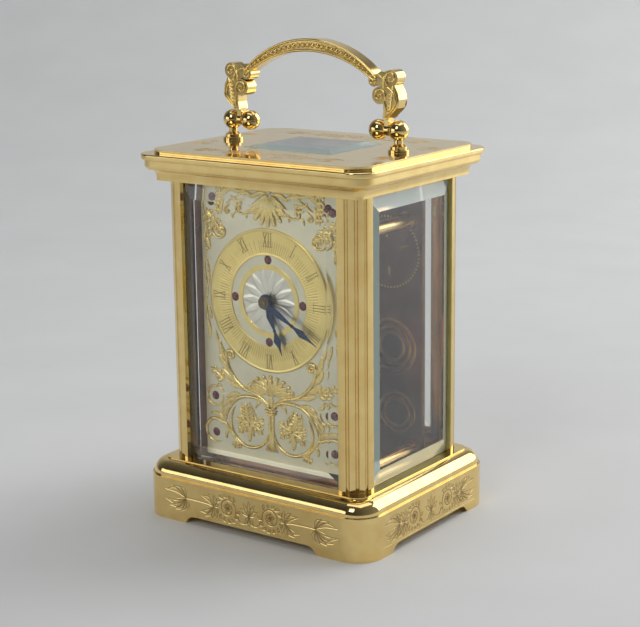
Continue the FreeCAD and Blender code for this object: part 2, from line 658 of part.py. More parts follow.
def dial_trim():
    """Gilt chapter ring, silver ring, gilt ring and rosette, and the ruby cabochons."""
    face = on_dial(0)
    chapter_outer, chapter_inner = number("chapter_outer"), number("chapter_inner")
    silver_inner, gilt_inner = number("silver_inner"), number("gilt_inner")
    feature(ring(chapter_outer, chapter_inner, face, on_dial(0.5)), "chapter_ring")
    feature(ring(chapter_inner, silver_inner, face, on_dial(0.35)), "jewel_ring")
    feature(ring(silver_inner, gilt_inner, face, on_dial(0.55)), "gilt_ring")
    rosette = ring(gilt_inner, 2.3, face, on_dial(0.3))
    feature(rosette, "centre_rosette")
    rubies = []
    orbit, radius = number("ruby_orbit"), number("ruby_radius")
    for quarter in range(4):
        heading = math.radians(90 * quarter)
        spot = (orbit * math.sin(heading), number("dial_centre") + orbit * math.cos(heading))
        rubies.append((spot, radius * 0.88, 0.35))
    for x in (-number("corner_ruby_x"), number("corner_ruby_x")):
        for z in (30.5, 43.8, 112.5):
            rubies.append(((x, z), number("corner_ruby_radius"), 0.0))
    stones = []
    for (x, z), spread, seat in rubies:
        height = 0.75
        sphere_radius = (spread ** 2 + height ** 2) / (2 * height)
        dome = Part.makeSphere(sphere_radius, Vector(x, on_dial(seat + height - sphere_radius), z))
        front = Part.makeBox(10, 5, 10, Vector(x - 5, on_dial(seat) - 5, z - 5))
        stones.append(dome.common(front))
    feature(Part.makeCompound(stones), "ruby_cabochons")


def dial_relief():
    """Gilt relief: the scrolls in their main masses, mirrored about the dial's middle."""
    back, front = on_dial(0), on_dial(0.8)
    masses = [ring(4.6, 0, back, front, (0.0, 112.4), 200, 140)]
    for side in (-1, 1):
        for x, z, outer, inner in ((10.4, 39.2, 8.2, 7.2), (22.6, 101.5, 5.6, 4.7),
                                   (24.2, 30.5, 2.9, 2.15), (24.2, 43.8, 2.9, 2.15),
                                   (24.2, 112.5, 2.9, 2.15)):
            masses.append(ring(outer, inner, back, front, (side * x, z)))
    feature(Part.makeCompound(masses), "dial_relief")


# ---------------------------------------------------------------- gears
PRESSURE_ANGLE = math.radians(25)


def involute(angle):
    return math.tan(angle) - angle


def gear_section(teeth, module, start=0.0):
    """Face of a stub-toothed gear in the XY plane; start is the angle of one tooth's middle."""
    pitch = teeth * module / 2
    root, tip, base = pitch - 0.95 * module, pitch + 0.7 * module, pitch * math.cos(PRESSURE_ANGLE)
    half_at_pitch = (math.pi / 2 - 0.25) * module / (2 * pitch)

    def half_angle(radius):
        inner = math.acos(min(1.0, base / radius))
        return half_at_pitch + involute(PRESSURE_ANGLE) - involute(inner)

    radii = [root, pitch, tip] if base < root else [root, max(base, root), pitch, tip]
    points = []
    for tooth in range(teeth):
        middle = start + 2 * math.pi * tooth / teeth
        rising = [(radius, middle - half_angle(radius)) for radius in radii]
        falling = [(radius, middle + half_angle(radius)) for radius in reversed(radii)]
        points += [Vector(r * math.cos(a), r * math.sin(a), 0) for r, a in rising + falling]
    return Part.Face(Part.makePolygon(points + points[:1]))


def gear(teeth, module, width, start=0.0, bore=0.0, spokes=0, hub=0.0):
    """A gear from z = 0 to its width; with spokes, it is crossed out between its hub and rim."""
    body = gear_section(teeth, module, start).extrude(Vector(0, 0, width))
    if spokes:
        rim = teeth * module / 2 - 0.95 * module - 1.1
        sector = 360 / spokes
        arm = 1.3
        window = Part.makeCylinder(rim, width, Vector(), Z_AXIS, sector)
        window = window.cut(Part.makeCylinder(hub, width))
        for heading, shift in ((0, 0), (sector, -arm)):
            bar = Part.makeBox(rim + 1, arm, width, Vector(0, shift, 0))
            bar.rotate(Vector(), Z_AXIS, heading)
            window = window.cut(bar)
        for index in range(spokes):
            turn = window.copy()
            turn.rotate(Vector(), Z_AXIS, index * sector)
            body = body.cut(turn)
    if bore:
        body = body.cut(Part.makeCylinder(bore, width))
    return body


def mesh_phase(driver_spot, driver_start, driver, spot, driven):
    """The driven gear's tooth angle that puts a gap of it opposite the driver's tooth."""
    heading = math.atan2(spot[1] - driver_spot[1], spot[0] - driver_spot[0])
    turn = (heading - driver_start) * TRAIN[driver][0] / (2 * math.pi)
    return heading + math.pi - (0.5 - turn) * 2 * math.pi / TRAIN[driven][0]


def point_above(spot, distance, x):
    """The point at a given x that lies above a spot, at a distance from it."""
    return (x, spot[1] + math.sqrt(distance ** 2 - (x - spot[0]) ** 2))


# ---------------------------------------------------------------- movement
FRONT = number("front_plate_y")
BACK = number("back_plate_y")
PLATE = number("plate_thick")
GAP = number("running_gap")
BARREL = (0.0, number("barrel_z"))
CENTRE = (0.0, number("dial_centre"))

TRAIN = {
    "great": (78, 0.5), "intermediate_pinion": (13, 0.5), "intermediate": (60, 0.4),
    "centre_pinion": (10, 0.4), "centre": (64, 0.35), "third_pinion": (8, 0.35),
    "third": (60, 0.3), "contrate_pinion": (8, 0.3), "contrate": (63, 0.27),
    "escape_pinion": (7, 0.27), "cannon": (12, 0.4), "minute": (36, 0.4),
    "minute_pinion": (10, 0.384), "hour": (40, 0.384),
}


def pitch_radius(name):
    teeth, module = TRAIN[name]
    return teeth * module / 2


def gap_between(name, other):
    return pitch_radius(name) + pitch_radius(other)


def place_intermediate():
    """The point that stands at its mesh distance from both the barrel and the centre arbor."""
    low, high = gap_between("great", "intermediate_pinion"), gap_between(
        "intermediate", "centre_pinion")
    span = CENTRE[1] - BARREL[1]
    rise = (low ** 2 - high ** 2 + span ** 2) / (2 * span)
    return (-math.sqrt(low ** 2 - rise ** 2), BARREL[1] + rise)


INTERMEDIATE = place_intermediate()
THIRD = point_above(CENTRE, gap_between("centre", "third_pinion"), 4.3)
CONTRATE = point_above(THIRD, gap_between("third", "contrate_pinion"), 0.0)
MINUTE_STUD = (0.0, CENTRE[1] - gap_between("cannon", "minute"))
CLICK_STUD = (11.5, 51.0)
ESCAPE_Y = 7.0
LEVER_Y = 0.6
BALANCE_Y = -7.0
PILLARS = ((PILLAR_X, 22.0), (26.0, 104.0))
PILLAR_SPOTS = [(side * x, z) for side in (-1, 1) for x, z in PILLARS]
PIVOT = 0.45


def movement_plate(label, edge, front, holes, stud, stud_height, forwards):
    """One of the movement's plates: a hole for each arbor and pillar, and a riveted stud."""
    body = new_body(label)
    sketch = new_sketch(body, "XZ_Plane", f"-({front} + plate_thick)")
    outline(sketch, edge)
    for x, z, radius in holes:
        circle(sketch, x, z, radius)
    pad(body, sketch, "plate_thick")
    doc.recompute()
    x, z, radius = stud
    face = f"-({front})" if forwards else f"-({front} + plate_thick)"
    base = new_sketch(body, "XZ_Plane", face)
    circle(base, x, z, radius)
    pad(body, base, stud_height, backwards=not forwards)


def movement_plates():
    """The two plates; the front one has wings that close the case on each side of the dial."""
    half = [("plate_half_x", "deck_under"), ("plate_half_x", "wing_bottom"),
            ("wing_half_x", "wing_bottom"), ("wing_half_x", "wing_top"),
            ("platform_gap", "wing_top"), ("platform_gap", "movement_top")]
    winged = half + [(f"-({x})", z) for x, z in reversed(half)]
    plain = rectangle("-plate_half_x", "plate_half_x", "deck_under", "movement_top")
    train = [(*spot, PIVOT + GAP) for spot in (INTERMEDIATE, THIRD, CONTRATE)]
    holes = train + [(*BARREL, 2.2 + GAP), (*CENTRE, 0.95 + GAP)]
    holes += [(*spot, 1.52) for spot in PILLAR_SPOTS]
    movement_plate("front_plate", winged, "front_plate_y", holes, (*MINUTE_STUD, 0.8), "4.2",
                   True)
    movement_plate("back_plate", plain, "back_plate_y", holes, (*CLICK_STUD, 1.2), "2.2", False)


def movement_pillars():
    """Four pillars riveted in the front plate and tapped for the back plate's screws."""
    group = []
    radius = number("pillar_radius")
    length = BACK - FRONT - PLATE
    for x, z in PILLAR_SPOTS:
        start = Vector(x, FRONT + PLATE, z)
        pillar = Part.makeCylinder(radius, length, start, Y_AXIS)
        for offset in (0, length - 2.4):
            pillar = pillar.fuse(Part.makeCylinder(radius + 0.7, 2.4,
                                                   start + Vector(0, offset, 0), Y_AXIS))
        pillar = pillar.fuse(Part.makeCylinder(1.5, PLATE, start, -Y_AXIS))
        pillar = pillar.cut(Part.makeCylinder(1.22, 7, Vector(x, BACK - 7, z), Y_AXIS))
        if z < 50:
            pillar = pillar.cut(Part.makeCylinder(1.22, 4, Vector(x, 0, z - 4), Z_AXIS))
        group.append(pillar.removeSplitter())
    feature(Part.makeCompound(group), "movement_pillars")
    group = screw_group([(x, BACK + PLATE, z) for x, z in PILLAR_SPOTS], (2.7, 1.5), (1.2, 8),
                        -Y_AXIS)
    feature(Part.makeCompound(group), "pillar_screws")


def barrel():
    """Mainspring barrel with the great wheel on its rim, its cap, spring, arbor and ratchet."""
    teeth, module = TRAIN["great"]
    radius = number("barrel_radius")
    front, wheel_front, wheel_back = -13.0, 7.0, 9.0
    x, z = BARREL
    wheel = stand_on_y(gear(teeth, module, wheel_back - wheel_front), x, z, wheel_back)
    drum = Part.makeCylinder(radius, wheel_back - front, Vector(x, front, z), Y_AXIS)
    hollow = Part.makeCylinder(radius - 1.2, wheel_back - 1.5 - front, Vector(x, front, z), Y_AXIS)
    hole = Part.makeCylinder(2.2 + GAP, 30, Vector(x, front, z), Y_AXIS)
    shell = wheel.fuse(drum).removeSplitter().cut(hollow).cut(hole)
    feature(shell, "mainspring_barrel")
    cap = Part.makeCylinder(radius - 1.22, 1.2, Vector(x, front, z), Y_AXIS)
    feature(cap.cut(hole), "barrel_cap")
    spring_back, spring_front = wheel_back - 2.0, front + 1.7
    coils = [ring(outer, outer - 0.6, spring_back, spring_front, BARREL)
             for outer in (15.9, 14.9, 13.9, 12.9, 7.2, 6.2, 5.2, 4.2)]
    feature(Part.makeCompound(coils), "mainspring")
    core = Part.makeCylinder(3.3, spring_back - spring_front - 0.6,
                             Vector(x, spring_front + 0.3, z), Y_AXIS)
    square_start = 22.6
    shaft = Part.makeCylinder(2.2, square_start - FRONT, Vector(x, FRONT, z), Y_AXIS)
    square = Part.makeBox(3.0, 4.6, 3.0, Vector(x - 1.5, square_start, z - 1.5))
    arbor = shaft.fuse([core, square]).removeSplitter()
    feature(arbor, "barrel_arbor")
    feature(ratchet_wheel(), "ratchet_wheel")


def ratchet_wheel():
    """Saw-toothed wheel on the barrel arbor, behind the back plate."""
    teeth, tip, root = 20, 7.4, 6.3
    points = []
    for tooth in range(teeth):
        angle = 2 * math.pi * tooth / teeth
        reach = 2 * math.pi / teeth * 0.86
        points.append(Vector(tip * math.cos(angle), tip * math.sin(angle), 0))
        points.append(Vector(root * math.cos(angle + reach), root * math.sin(angle + reach), 0))
    body = Part.Face(Part.makePolygon(points + points[:1])).extrude(Vector(0, 0, 1.6))
    body = body.cut(Part.makeCylinder(2.2, 1.6))
    return stand_on_y(body, BARREL[0], BARREL[1], BACK + PLATE + 2.0)


def click_work():
    """Click that turns on the back plate's stud, and its leaf spring."""
    pivot = Vector(CLICK_STUD[0], BACK + PLATE, CLICK_STUD[1])
    front = pivot.y + 0.4
    eye = Part.makeCylinder(2.3, 1.4, Vector(pivot.x, front, pivot.z), Y_AXIS)
    beak = Part.Face(Part.makePolygon([
        Vector(pivot.x + dx, front, pivot.z + dz) for dx, dz in (
            (0.6, 2.2), (-5.6, 4.4), (-6.6, 3.3), (-1.6, -0.6), (0.6, 2.2))]))
    click = eye.fuse(beak.extrude(Vector(0, 1.4, 0)))
    click = click.cut(Part.makeCylinder(1.2 + GAP, 4, Vector(pivot.x, front - 1, pivot.z), Y_AXIS))
    feature(click.removeSplitter(), "click")
    foot = Part.makeBox(3.0, 1.4, 5.0, Vector(15.2, pivot.y, 56.0))
    leaf = Part.makeBox(11.0, 1.2, 0.5, Vector(4.2, pivot.y + 0.1, 58.0))
    feature(foot.fuse(leaf).removeSplitter(), "click_spring")


def arbor(spot, pinion, span, phase, shaft):
    """An arbor along Y between the plates: its shaft, the pinion cut on it and its two pivots."""
    teeth, module = TRAIN[pinion]
    front, back = FRONT + PLATE + 0.3, BACK - 0.3
    x, z = spot
    leaves = stand_on_y(gear(teeth, module, span[1] - span[0], phase), x, z, span[1])
    body = Part.makeCylinder(shaft, back - front, Vector(x, front, z), Y_AXIS)
    pivots = Part.makeCylinder(PIVOT, BACK + PLATE - FRONT, Vector(x, FRONT, z), Y_AXIS)
    return body.fuse([leaves, pivots])


def crossed_wheel(name, spot, back, width, bore, hub):
    """A four-spoked wheel on an axis along Y, with the middle of a tooth at angle 0."""
    teeth, module = TRAIN[name]
    return stand_on_y(gear(teeth, module, width, 0.0, bore, 4, hub), *spot, back)


def going_train():
    """Intermediate, centre, third and contrate wheels, each riveted to its arbor and pinion."""
    phase = mesh_phase(BARREL, 0.0, "great", INTERMEDIATE, "intermediate_pinion")
    shaft = arbor(INTERMEDIATE, "intermediate_pinion", (6.4, 9.6), phase, 0.9)
    wheel = crossed_wheel("intermediate", INTERMEDIATE, 14.0, 1.5, 0.8, 3.0)
    feature(shaft.fuse(wheel).removeSplitter(), "intermediate_wheel")
    phase = mesh_phase(INTERMEDIATE, 0.0, "intermediate", CENTRE, "centre_pinion")
    wheel = crossed_wheel("centre", CENTRE, 1.2, 1.2, 0.8, 3.0)
    feature(centre_arbor(phase).fuse(wheel).removeSplitter(), "centre_wheel")
    phase = mesh_phase(CENTRE, 0.0, "centre", THIRD, "third_pinion")
    shaft = arbor(THIRD, "third_pinion", (-0.4, 1.6), phase, 0.7)
    wheel = crossed_wheel("third", THIRD, -7.0, 1.0, 0.6, 2.2)
    feature(shaft.fuse(wheel).removeSplitter(), "third_wheel")
    phase = mesh_phase(THIRD, 0.0, "third", CONTRATE, "contrate_pinion")
    shaft = arbor(CONTRATE, "contrate_pinion", (-8.5, -6.5), phase, 0.7)
    feature(shaft.fuse(contrate_crown()).removeSplitter(), "contrate_wheel")


def centre_arbor(phase):
    """Arbor that carries the centre wheel, the cannon pinion and the hand-setting square."""
    teeth, module = TRAIN["centre_pinion"]
    x, z = CENTRE
    leaves = stand_on_y(gear(teeth, module, 3.0, phase), x, z, 15.0)
    shaft = Part.makeCylinder(0.95, BACK + PLATE + 4.0 - FRONT, Vector(x, FRONT, z), Y_AXIS)
    nose = Part.makeCylinder(0.7, 7.6, Vector(x, FRONT - 7.6, z), Y_AXIS)
    square = Part.makeBox(1.2, 2.4, 1.2, Vector(x - 0.6, BACK + PLATE + 4.0, z - 0.6))
    return leaves.fuse([shaft, nose, square])


def contrate_crown():
    """Crown wheel whose teeth stand along the arbor, towards the escape pinion."""
    teeth, module = TRAIN["contrate"]
    radius = pitch_radius("contrate")
    web_back, tip = 5.0, ESCAPE_Y - pitch_radius("escape_pinion") + 0.16
    x, z = CONTRATE
    web = Part.makeCylinder(radius + 0.5, 0.9, Vector(0, 0, 0))
    for index in range(4):
        hole = Part.makeCylinder(2.0, 0.9, Vector(4.6, 0, 0))
        hole.rotate(Vector(), Z_AXIS, 90 * index + 45)
        web = web.cut(hole)
    wall = Part.makeCylinder(radius + 0.5, 0.5).cut(Part.makeCylinder(radius - 0.5, 0.5))
    wall.translate(Vector(0, 0, -0.5))
    tooth_height = tip - (web_back + 0.5)
    width = math.pi * module * 0.36
    crown = []
    for index in range(teeth):
        tooth = Part.makeBox(1.0, width, tooth_height,
                             Vector(radius - 0.5, -width / 2, -0.5 - tooth_height))
        tooth.rotate(Vector(), Z_AXIS, 90 + 360 * index / teeth)
        crown.append(tooth)
    return stand_on_y(web.fuse([wall] + crown), x, z, web_back)


def motion_work():
    """Cannon pinion, minute wheel and hour wheel between the dial and the front plate."""
    x, z = CENTRE
    layer_back = FRONT - 0.5
    bore = 0.7
    cannon = gear(12, 0.4, 1.5, math.radians(-90))
    cannon = cannon.fuse(Part.makeCylinder(1.25, number("dial_face") + 3.2 + layer_back))
    cannon = cannon.cut(Part.makeCylinder(bore, 12))
    feature(stand_on_y(cannon.removeSplitter(), x, z, layer_back), "cannon_pinion")
    phase = mesh_phase(CENTRE, math.radians(-90), "cannon", MINUTE_STUD, "minute")
    wheel = gear(36, 0.4, 1.0, phase, spokes=4, hub=2.6)
    pinion_phase = math.radians(90)
    pinion = gear(10, 0.384, 3.3, pinion_phase)
    wheel = wheel.fuse(pinion).cut(Part.makeCylinder(0.8 + GAP, 4)).removeSplitter()
    feature(stand_on_y(wheel, *MINUTE_STUD, layer_back - 0.2), "minute_wheel")
    hour_phase = mesh_phase(MINUTE_STUD, pinion_phase, "minute_pinion", CENTRE, "hour")
    hour_back = layer_back - 2.1
    hour = gear(40, 0.384, 1.0, hour_phase, spokes=4, hub=3.0)
    hour = hour.fuse(Part.makeCylinder(2.0, number("dial_face") + 2.15 + hour_back))
    hour = hour.cut(Part.makeCylinder(1.25 + GAP, 12)).removeSplitter()
    feature(stand_on_y(hour, x, z, hour_back), "hour_wheel")


def hand(label, proud, hub, bore, swell, spade, clock_angle):
    """Blued steel hand, drawn pointing up and turned clockwise to where it shows.

    It swells beyond its hub, narrows to a knop, and ends in a spade and a fine point; swell
    and spade are the half widths of the two broad places.
    """
    length, thick = number(label), number("hand_thick")
    half = [(0.7, hub * 0.8), (swell, length * 0.27), (0.36, length * 0.50),
            (0.55, length * 0.54), (0.36, length * 0.58), (spade, length * 0.72),
            (0.38, length * 0.86), (0.0, length)]
    points = half + [(-x, z) for x, z in reversed(half[:-1])]
    back = on_dial(proud)
    blade = Part.Face(Part.makePolygon([Vector(x, back, z) for x, z in points + points[:1]]))
    blade = blade.extrude(Vector(0, -thick, 0))
    boss = ring(hub, 0, back, back - thick, (0.0, 0.0))
    hole = ring(bore, 0, back, back - thick, (0.0, 0.0))
    body = blade.fuse(boss).cut(hole).removeSplitter()
    body.rotate(Vector(), Y_AXIS, clock_angle)
    body.translate(Vector(0, 0, number("dial_centre")))
    feature(body, label)


def hands():
    minutes_shown, hours_shown = 20, 5
    hand("hour_hand", 1.8, 2.7, 2.0, 1.45, 1.55, 30 * hours_shown + minutes_shown / 2)
    hand("minute_hand", 2.85, 2.2, 1.25, 1.1, 1.3, 6 * minutes_shown)
    back = on_dial(3.2)
    collet = ring(2.1, 0, back, back - 0.3).fuse(ring(1.2, 0, back - 0.3, back - 0.55))
    collet = collet.cut(ring(0.7, 0, back, back - 0.55))
    feature(collet.removeSplitter(), "hand_collet")


# ---------------------------------------------------------------- platform escapement
PLATFORM_TOP = number("movement_top") + 1.6
ESCAPE_LAYER, LEVER_LAYER, BALANCE_LAYER = PLATFORM_TOP + 1.6, PLATFORM_TOP + 2.5, 119.0
ESCAPE_COCK, BALANCE_COCK = PLATFORM_TOP + 4.0, 122.6


def platform_plate():
    """Platform across the tops of the plates, with a bracket below for the escape arbor."""
    under = number("movement_top")
    deck = Part.makeBox(30, BACK + PLATE - FRONT, 1.6, Vector(-15, FRONT, under))
    for y, radius in ((ESCAPE_Y, 1.6), (LEVER_Y, 0.3 + GAP), (BALANCE_Y, 0.4 + GAP)):
        deck = deck.cut(Part.makeCylinder(radius, 4, Vector(0, y, under - 1)))
    for x, y in ((-12.5, FRONT + 1), (12.5, FRONT + 1), (-12.5, BACK + 1), (12.5, BACK + 1)):
        deck = deck.cut(Part.makeCylinder(0.62, 4, Vector(x, y, under - 1)))
    bracket = Part.makeBox(6.5, 3.2, 0.8, Vector(-1.6, ESCAPE_Y - 0.5, 107.2))
    leg = Part.makeBox(1.6, 2.0, under - 107.2, Vector(3.3, ESCAPE_Y + 0.7, 107.2))
    bracket = bracket.fuse(leg).cut(Part.makeCylinder(0.3 + GAP, 2, Vector(0, ESCAPE_Y, 106.8)))
    feature(deck.fuse(bracket).removeSplitter(), "platform_plate")
    heads = [(x, y, PLATFORM_TOP) for x in (-12.5, 12.5) for y in (FRONT + 1, BACK + 1)]
    feature(Part.makeCompound(screw_group(heads, (1.3, 1.0), (0.6, 1.6), -Z_AXIS)),
            "platform_screws")


def escape_wheel_set():
    """Fifteen-tooth club escape wheel on the vertical escape arbor."""
    gap_forward = math.radians(-90 + 180 / TRAIN["escape_pinion"][0])
    leaves = gear(*TRAIN["escape_pinion"], 2.4, gap_forward)
    leaves.translate(Vector(0, ESCAPE_Y, 108.6))
    shaft = Part.makeCylinder(0.6, ESCAPE_COCK - 0.3 - 108.3, Vector(0, ESCAPE_Y, 108.3))
    low = Part.makeCylinder(0.3, 1.1, Vector(0, ESCAPE_Y, 107.2))
    high = Part.makeCylinder(0.3, 1.0, Vector(0, ESCAPE_Y, ESCAPE_COCK - 0.3))
    staff = leaves.fuse([shaft, low, high])
    teeth, tip, root = 15, 4.2, 3.2
    points = []
    for tooth in range(teeth):
        angle = 2 * math.pi * (tooth + 0.25) / teeth
        for radius, lag in ((root, -0.10), (tip, 0.0), (tip - 0.12, 0.07), (root, 0.05)):
            points.append(Vector(radius * math.cos(angle + lag), radius * math.sin(angle + lag), 0))
    wheel = Part.Face(Part.makePolygon(points + points[:1])).extrude(Vector(0, 0, 0.5))
    for index in range(4):
        hole = Part.makeCylinder(0.75, 0.5, Vector(1.85, 0, 0))
        hole.rotate(Vector(), Z_AXIS, 90 * index + 45)
        wheel = wheel.cut(hole)
    wheel.translate(Vector(0, ESCAPE_Y, ESCAPE_LAYER))
    feature(wheel.fuse(staff).removeSplitter(), "escape_wheel")


def escape_cock():
    """Bridge over the escape wheel and the lever, on two feet that stand on the platform."""
    bar = Part.makeBox(16, 2.6, 0.9, Vector(-8, ESCAPE_Y - 1.3, ESCAPE_COCK))
    bar = bar.fuse(Part.makeBox(3.0, 8.4, 0.9, Vector(-1.5, LEVER_Y - 1.4, ESCAPE_COCK)))
    for x in (-8, 5.4):
        foot = Part.makeBox(2.6, 2.6, ESCAPE_COCK - PLATFORM_TOP, Vector(x, ESCAPE_Y - 1.3,
                                                                         PLATFORM_TOP))
        bar = bar.fuse(foot)
    for y in (ESCAPE_Y, LEVER_Y):
        bar = bar.cut(Part.makeCylinder(0.3 + GAP, 3, Vector(0, y, ESCAPE_COCK - 1)))
    feature(bar.removeSplitter(), "escape_cock")


def pallet_lever():
    """Lever with two pallets, clear of the escape wheel's teeth, and a fork at the balance."""
    base = LEVER_LAYER
    arm_length = LEVER_Y - BALANCE_Y - 1.6
    arm = Part.makeBox(0.7, arm_length, 0.5, Vector(-0.35, LEVER_Y - arm_length, base))
    fork = Part.makeBox(1.9, 1.0, 0.5, Vector(-0.95, LEVER_Y - arm_length - 0.6, base))
    notch = Part.makeBox(0.7, 0.8, 0.5, Vector(-0.35, LEVER_Y - arm_length - 0.7, base))
    anchor = Part.makeBox(6.4, 0.8, 0.5, Vector(-3.2, LEVER_Y - 0.4, base))
    hub = Part.makeCylinder(0.8, 0.5, Vector(0, LEVER_Y, base))
    pallets = [Part.makeBox(0.6, 2.1, base + 0.5 - ESCAPE_LAYER + 0.2,
                            Vector(x - 0.3, LEVER_Y, ESCAPE_LAYER - 0.2))
               for x in (-2.4, 2.4)]
    body = arm.cut(notch).fuse([fork.cut(notch), anchor, hub] + pallets).removeSplitter()
    staff = Part.makeCylinder(0.4, ESCAPE_COCK - PLATFORM_TOP - 0.4,
                              Vector(0, LEVER_Y, PLATFORM_TOP + 0.2))
    low = Part.makeCylinder(0.3, 1.4, Vector(0, LEVER_Y, PLATFORM_TOP - 1.2))
    high = Part.makeCylinder(0.3, 0.8, Vector(0, LEVER_Y, ESCAPE_COCK - 0.2))
    feature(body.fuse([staff, low, high]).removeSplitter(), "pallet_lever")


def balance():
    """Balance wheel with rim screws, its staff with the roller, and the hairspring."""
    centre = Vector(0, BALANCE_Y, BALANCE_LAYER)
    rim_radius = 8.2
    rim = Part.makeCylinder(rim_radius, 1.0, centre)
    rim = rim.cut(Part.makeCylinder(rim_radius - 1.0, 1.0, centre))
    bar = Part.makeBox(2 * rim_radius - 1, 1.2, 0.6, centre + Vector(0.5 - rim_radius, -0.6, 0.2))
    rim_screws = []
    for index in range(12):
        pin = Part.makeCylinder(0.45, 0.9, centre + Vector(rim_radius - 0.2, 0, 0.5), X_AXIS)
        pin.rotate(centre, Z_AXIS, 30 * index + 15)
        rim_screws.append(pin)
    staff = Part.makeCylinder(0.6, BALANCE_COCK - 0.2 - PLATFORM_TOP - 0.2,
                              Vector(0, BALANCE_Y, PLATFORM_TOP + 0.2))
    roller = Part.makeCylinder(1.0, 0.4, Vector(0, BALANCE_Y, LEVER_LAYER + 0.9))
    low = Part.makeCylinder(0.4, 1.4, Vector(0, BALANCE_Y, PLATFORM_TOP - 1.2))
    high = Part.makeCylinder(0.4, 1.0, Vector(0, BALANCE_Y, BALANCE_COCK - 0.2))
    wheel = rim.fuse([bar, staff, roller, low, high] + rim_screws)
    feature(wheel.removeSplitter(), "balance_wheel")
    hairspring()


def hairspring():
    """Flat spiral spring over the balance, from its collet on the staff outwards."""
    inner, pitch, turns, steps = 1.1, 0.55, 6, 24
    ribbon, height = 0.14, 0.5
    level = BALANCE_LAYER + 1.9
    sides = []
    for offset in (0.0, ribbon):
        sides.append([(inner + offset + pitch * index / steps, 2 * math.pi * index / steps)
                      for index in range(turns * steps + 1)])
    points = [Vector(r * math.cos(a), BALANCE_Y + r * math.sin(a), level)
              for r, a in sides[0] + sides[1][::-1]]
    spiral = Part.Face(Part.makePolygon(points + points[:1])).extrude(Vector(0, 0, height))
    collet = Part.makeCylinder(1.15, height, Vector(0, BALANCE_Y, level))
    collet = collet.cut(Part.makeCylinder(0.6, height, Vector(0, BALANCE_Y, level)))
    feature(collet.fuse(spiral).removeSplitter(), "hairspring")


def balance_cock():
    """Cock from a foot at the platform's front edge to the balance's upper pivot."""
    foot_y = FRONT + 0.6
    foot = Part.makeBox(5, 2.6, BALANCE_COCK - PLATFORM_TOP, Vector(-2.5, foot_y, PLATFORM_TOP))
    arm = Part.makeBox(3.4, BALANCE_Y - foot_y, 1.2, Vector(-1.7, foot_y, BALANCE_COCK))
    table = Part.makeCylinder(2.6, 1.2, Vector(0, BALANCE_Y, BALANCE_COCK))
    head = Part.makeBox(5, 2.6, 1.2, Vector(-2.5, foot_y, BALANCE_COCK))
    body = foot.fuse([arm, table, head])
    body = body.cut(Part.makeCylinder(0.4 + GAP, 3, Vector(0, BALANCE_Y, BALANCE_COCK - 1)))
    feature(body.removeSplitter(), "balance_cock")


# ---------------------------------------------------------------- assembly
def build_case():
    base_plinth()
    base_floor_plate()
    for back_name, side_y in (("front", -1), ("back", 1)):
        for side_name, side_x in (("left", -1), ("right", 1)):
            column(f"column_{back_name}_{side_name}", side_x, side_y)
    cornice()
    top_plate()
    case_glasses()
    case_fasteners()


def build_handle():
    for label, side in (("handle_post_left", -1), ("handle_post_right", 1)):
        handle_post(label, side)
    handle_pivot_screws()
    handle_post_nuts()
    handle_bow()


def build_door():
    door_frame()
    door_fittings()


def build_dial():
    dial_plate()
    dial_trim()
    dial_relief()
    hands()


def build_movement():
    movement_plates()
    movement_pillars()
    barrel()
    click_work()
    going_train()
    motion_work()
    platform_plate()
    escape_wheel_set()
    escape_cock()
    pallet_lever()
    balance()
    balance_cock()


def check_and_write():
    """Recomputes the document, stops at the first faulty piece, and writes one file per piece."""
    doc.recompute()
    for item in doc.Objects:
        if "Invalid" in item.State or "Error" in item.State:
            raise RuntimeError(f"{item.Label} ({item.Name}) failed: {item.State}")
    for item in pieces:
        if item.Shape.isNull() or not item.Shape.isValid() or not item.Shape.Solids:
            raise RuntimeError(f"{item.Label} has no valid solid")
    os.makedirs("parts", exist_ok=True)
    for item in pieces:
        item.Shape.exportStep(f"parts/{item.Label}.step")
        box = item.Shape.BoundBox
        print(f"{item.Label:22s} {len(item.Shape.Solids):3d} solid(s) {item.Shape.Volume:10.1f} mm3 "
              f"x {box.XMin:7.2f} {box.XMax:7.2f}  y {box.YMin:7.2f} {box.YMax:7.2f}  "
              f"z {box.ZMin:7.2f} {box.ZMax:7.2f}")
    print(len(pieces), "pieces")


build_case()
build_handle()
build_door()
build_dial()
build_movement()
check_and_write()
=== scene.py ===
import math

import bpy
import numpy as np
from mathutils import Matrix, Vector


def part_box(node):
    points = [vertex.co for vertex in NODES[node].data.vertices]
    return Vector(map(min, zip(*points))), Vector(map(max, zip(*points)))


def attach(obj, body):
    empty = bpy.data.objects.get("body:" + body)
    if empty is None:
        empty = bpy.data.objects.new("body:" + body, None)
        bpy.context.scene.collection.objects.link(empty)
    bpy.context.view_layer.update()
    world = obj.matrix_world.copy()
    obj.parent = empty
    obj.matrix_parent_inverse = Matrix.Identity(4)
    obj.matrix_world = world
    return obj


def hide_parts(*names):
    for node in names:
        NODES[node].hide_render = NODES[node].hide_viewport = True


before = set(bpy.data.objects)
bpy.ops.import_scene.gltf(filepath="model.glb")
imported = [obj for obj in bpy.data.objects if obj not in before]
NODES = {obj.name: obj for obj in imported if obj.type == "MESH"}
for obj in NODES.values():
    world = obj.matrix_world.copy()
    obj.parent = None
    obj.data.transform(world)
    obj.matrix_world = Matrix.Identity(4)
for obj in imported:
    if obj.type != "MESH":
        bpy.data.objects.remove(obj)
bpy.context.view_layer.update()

MM = 0.001
TURN = 2 * math.pi


def box_mm(node):
    low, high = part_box(node)
    return np.array(low) / MM, np.array(high) / MM


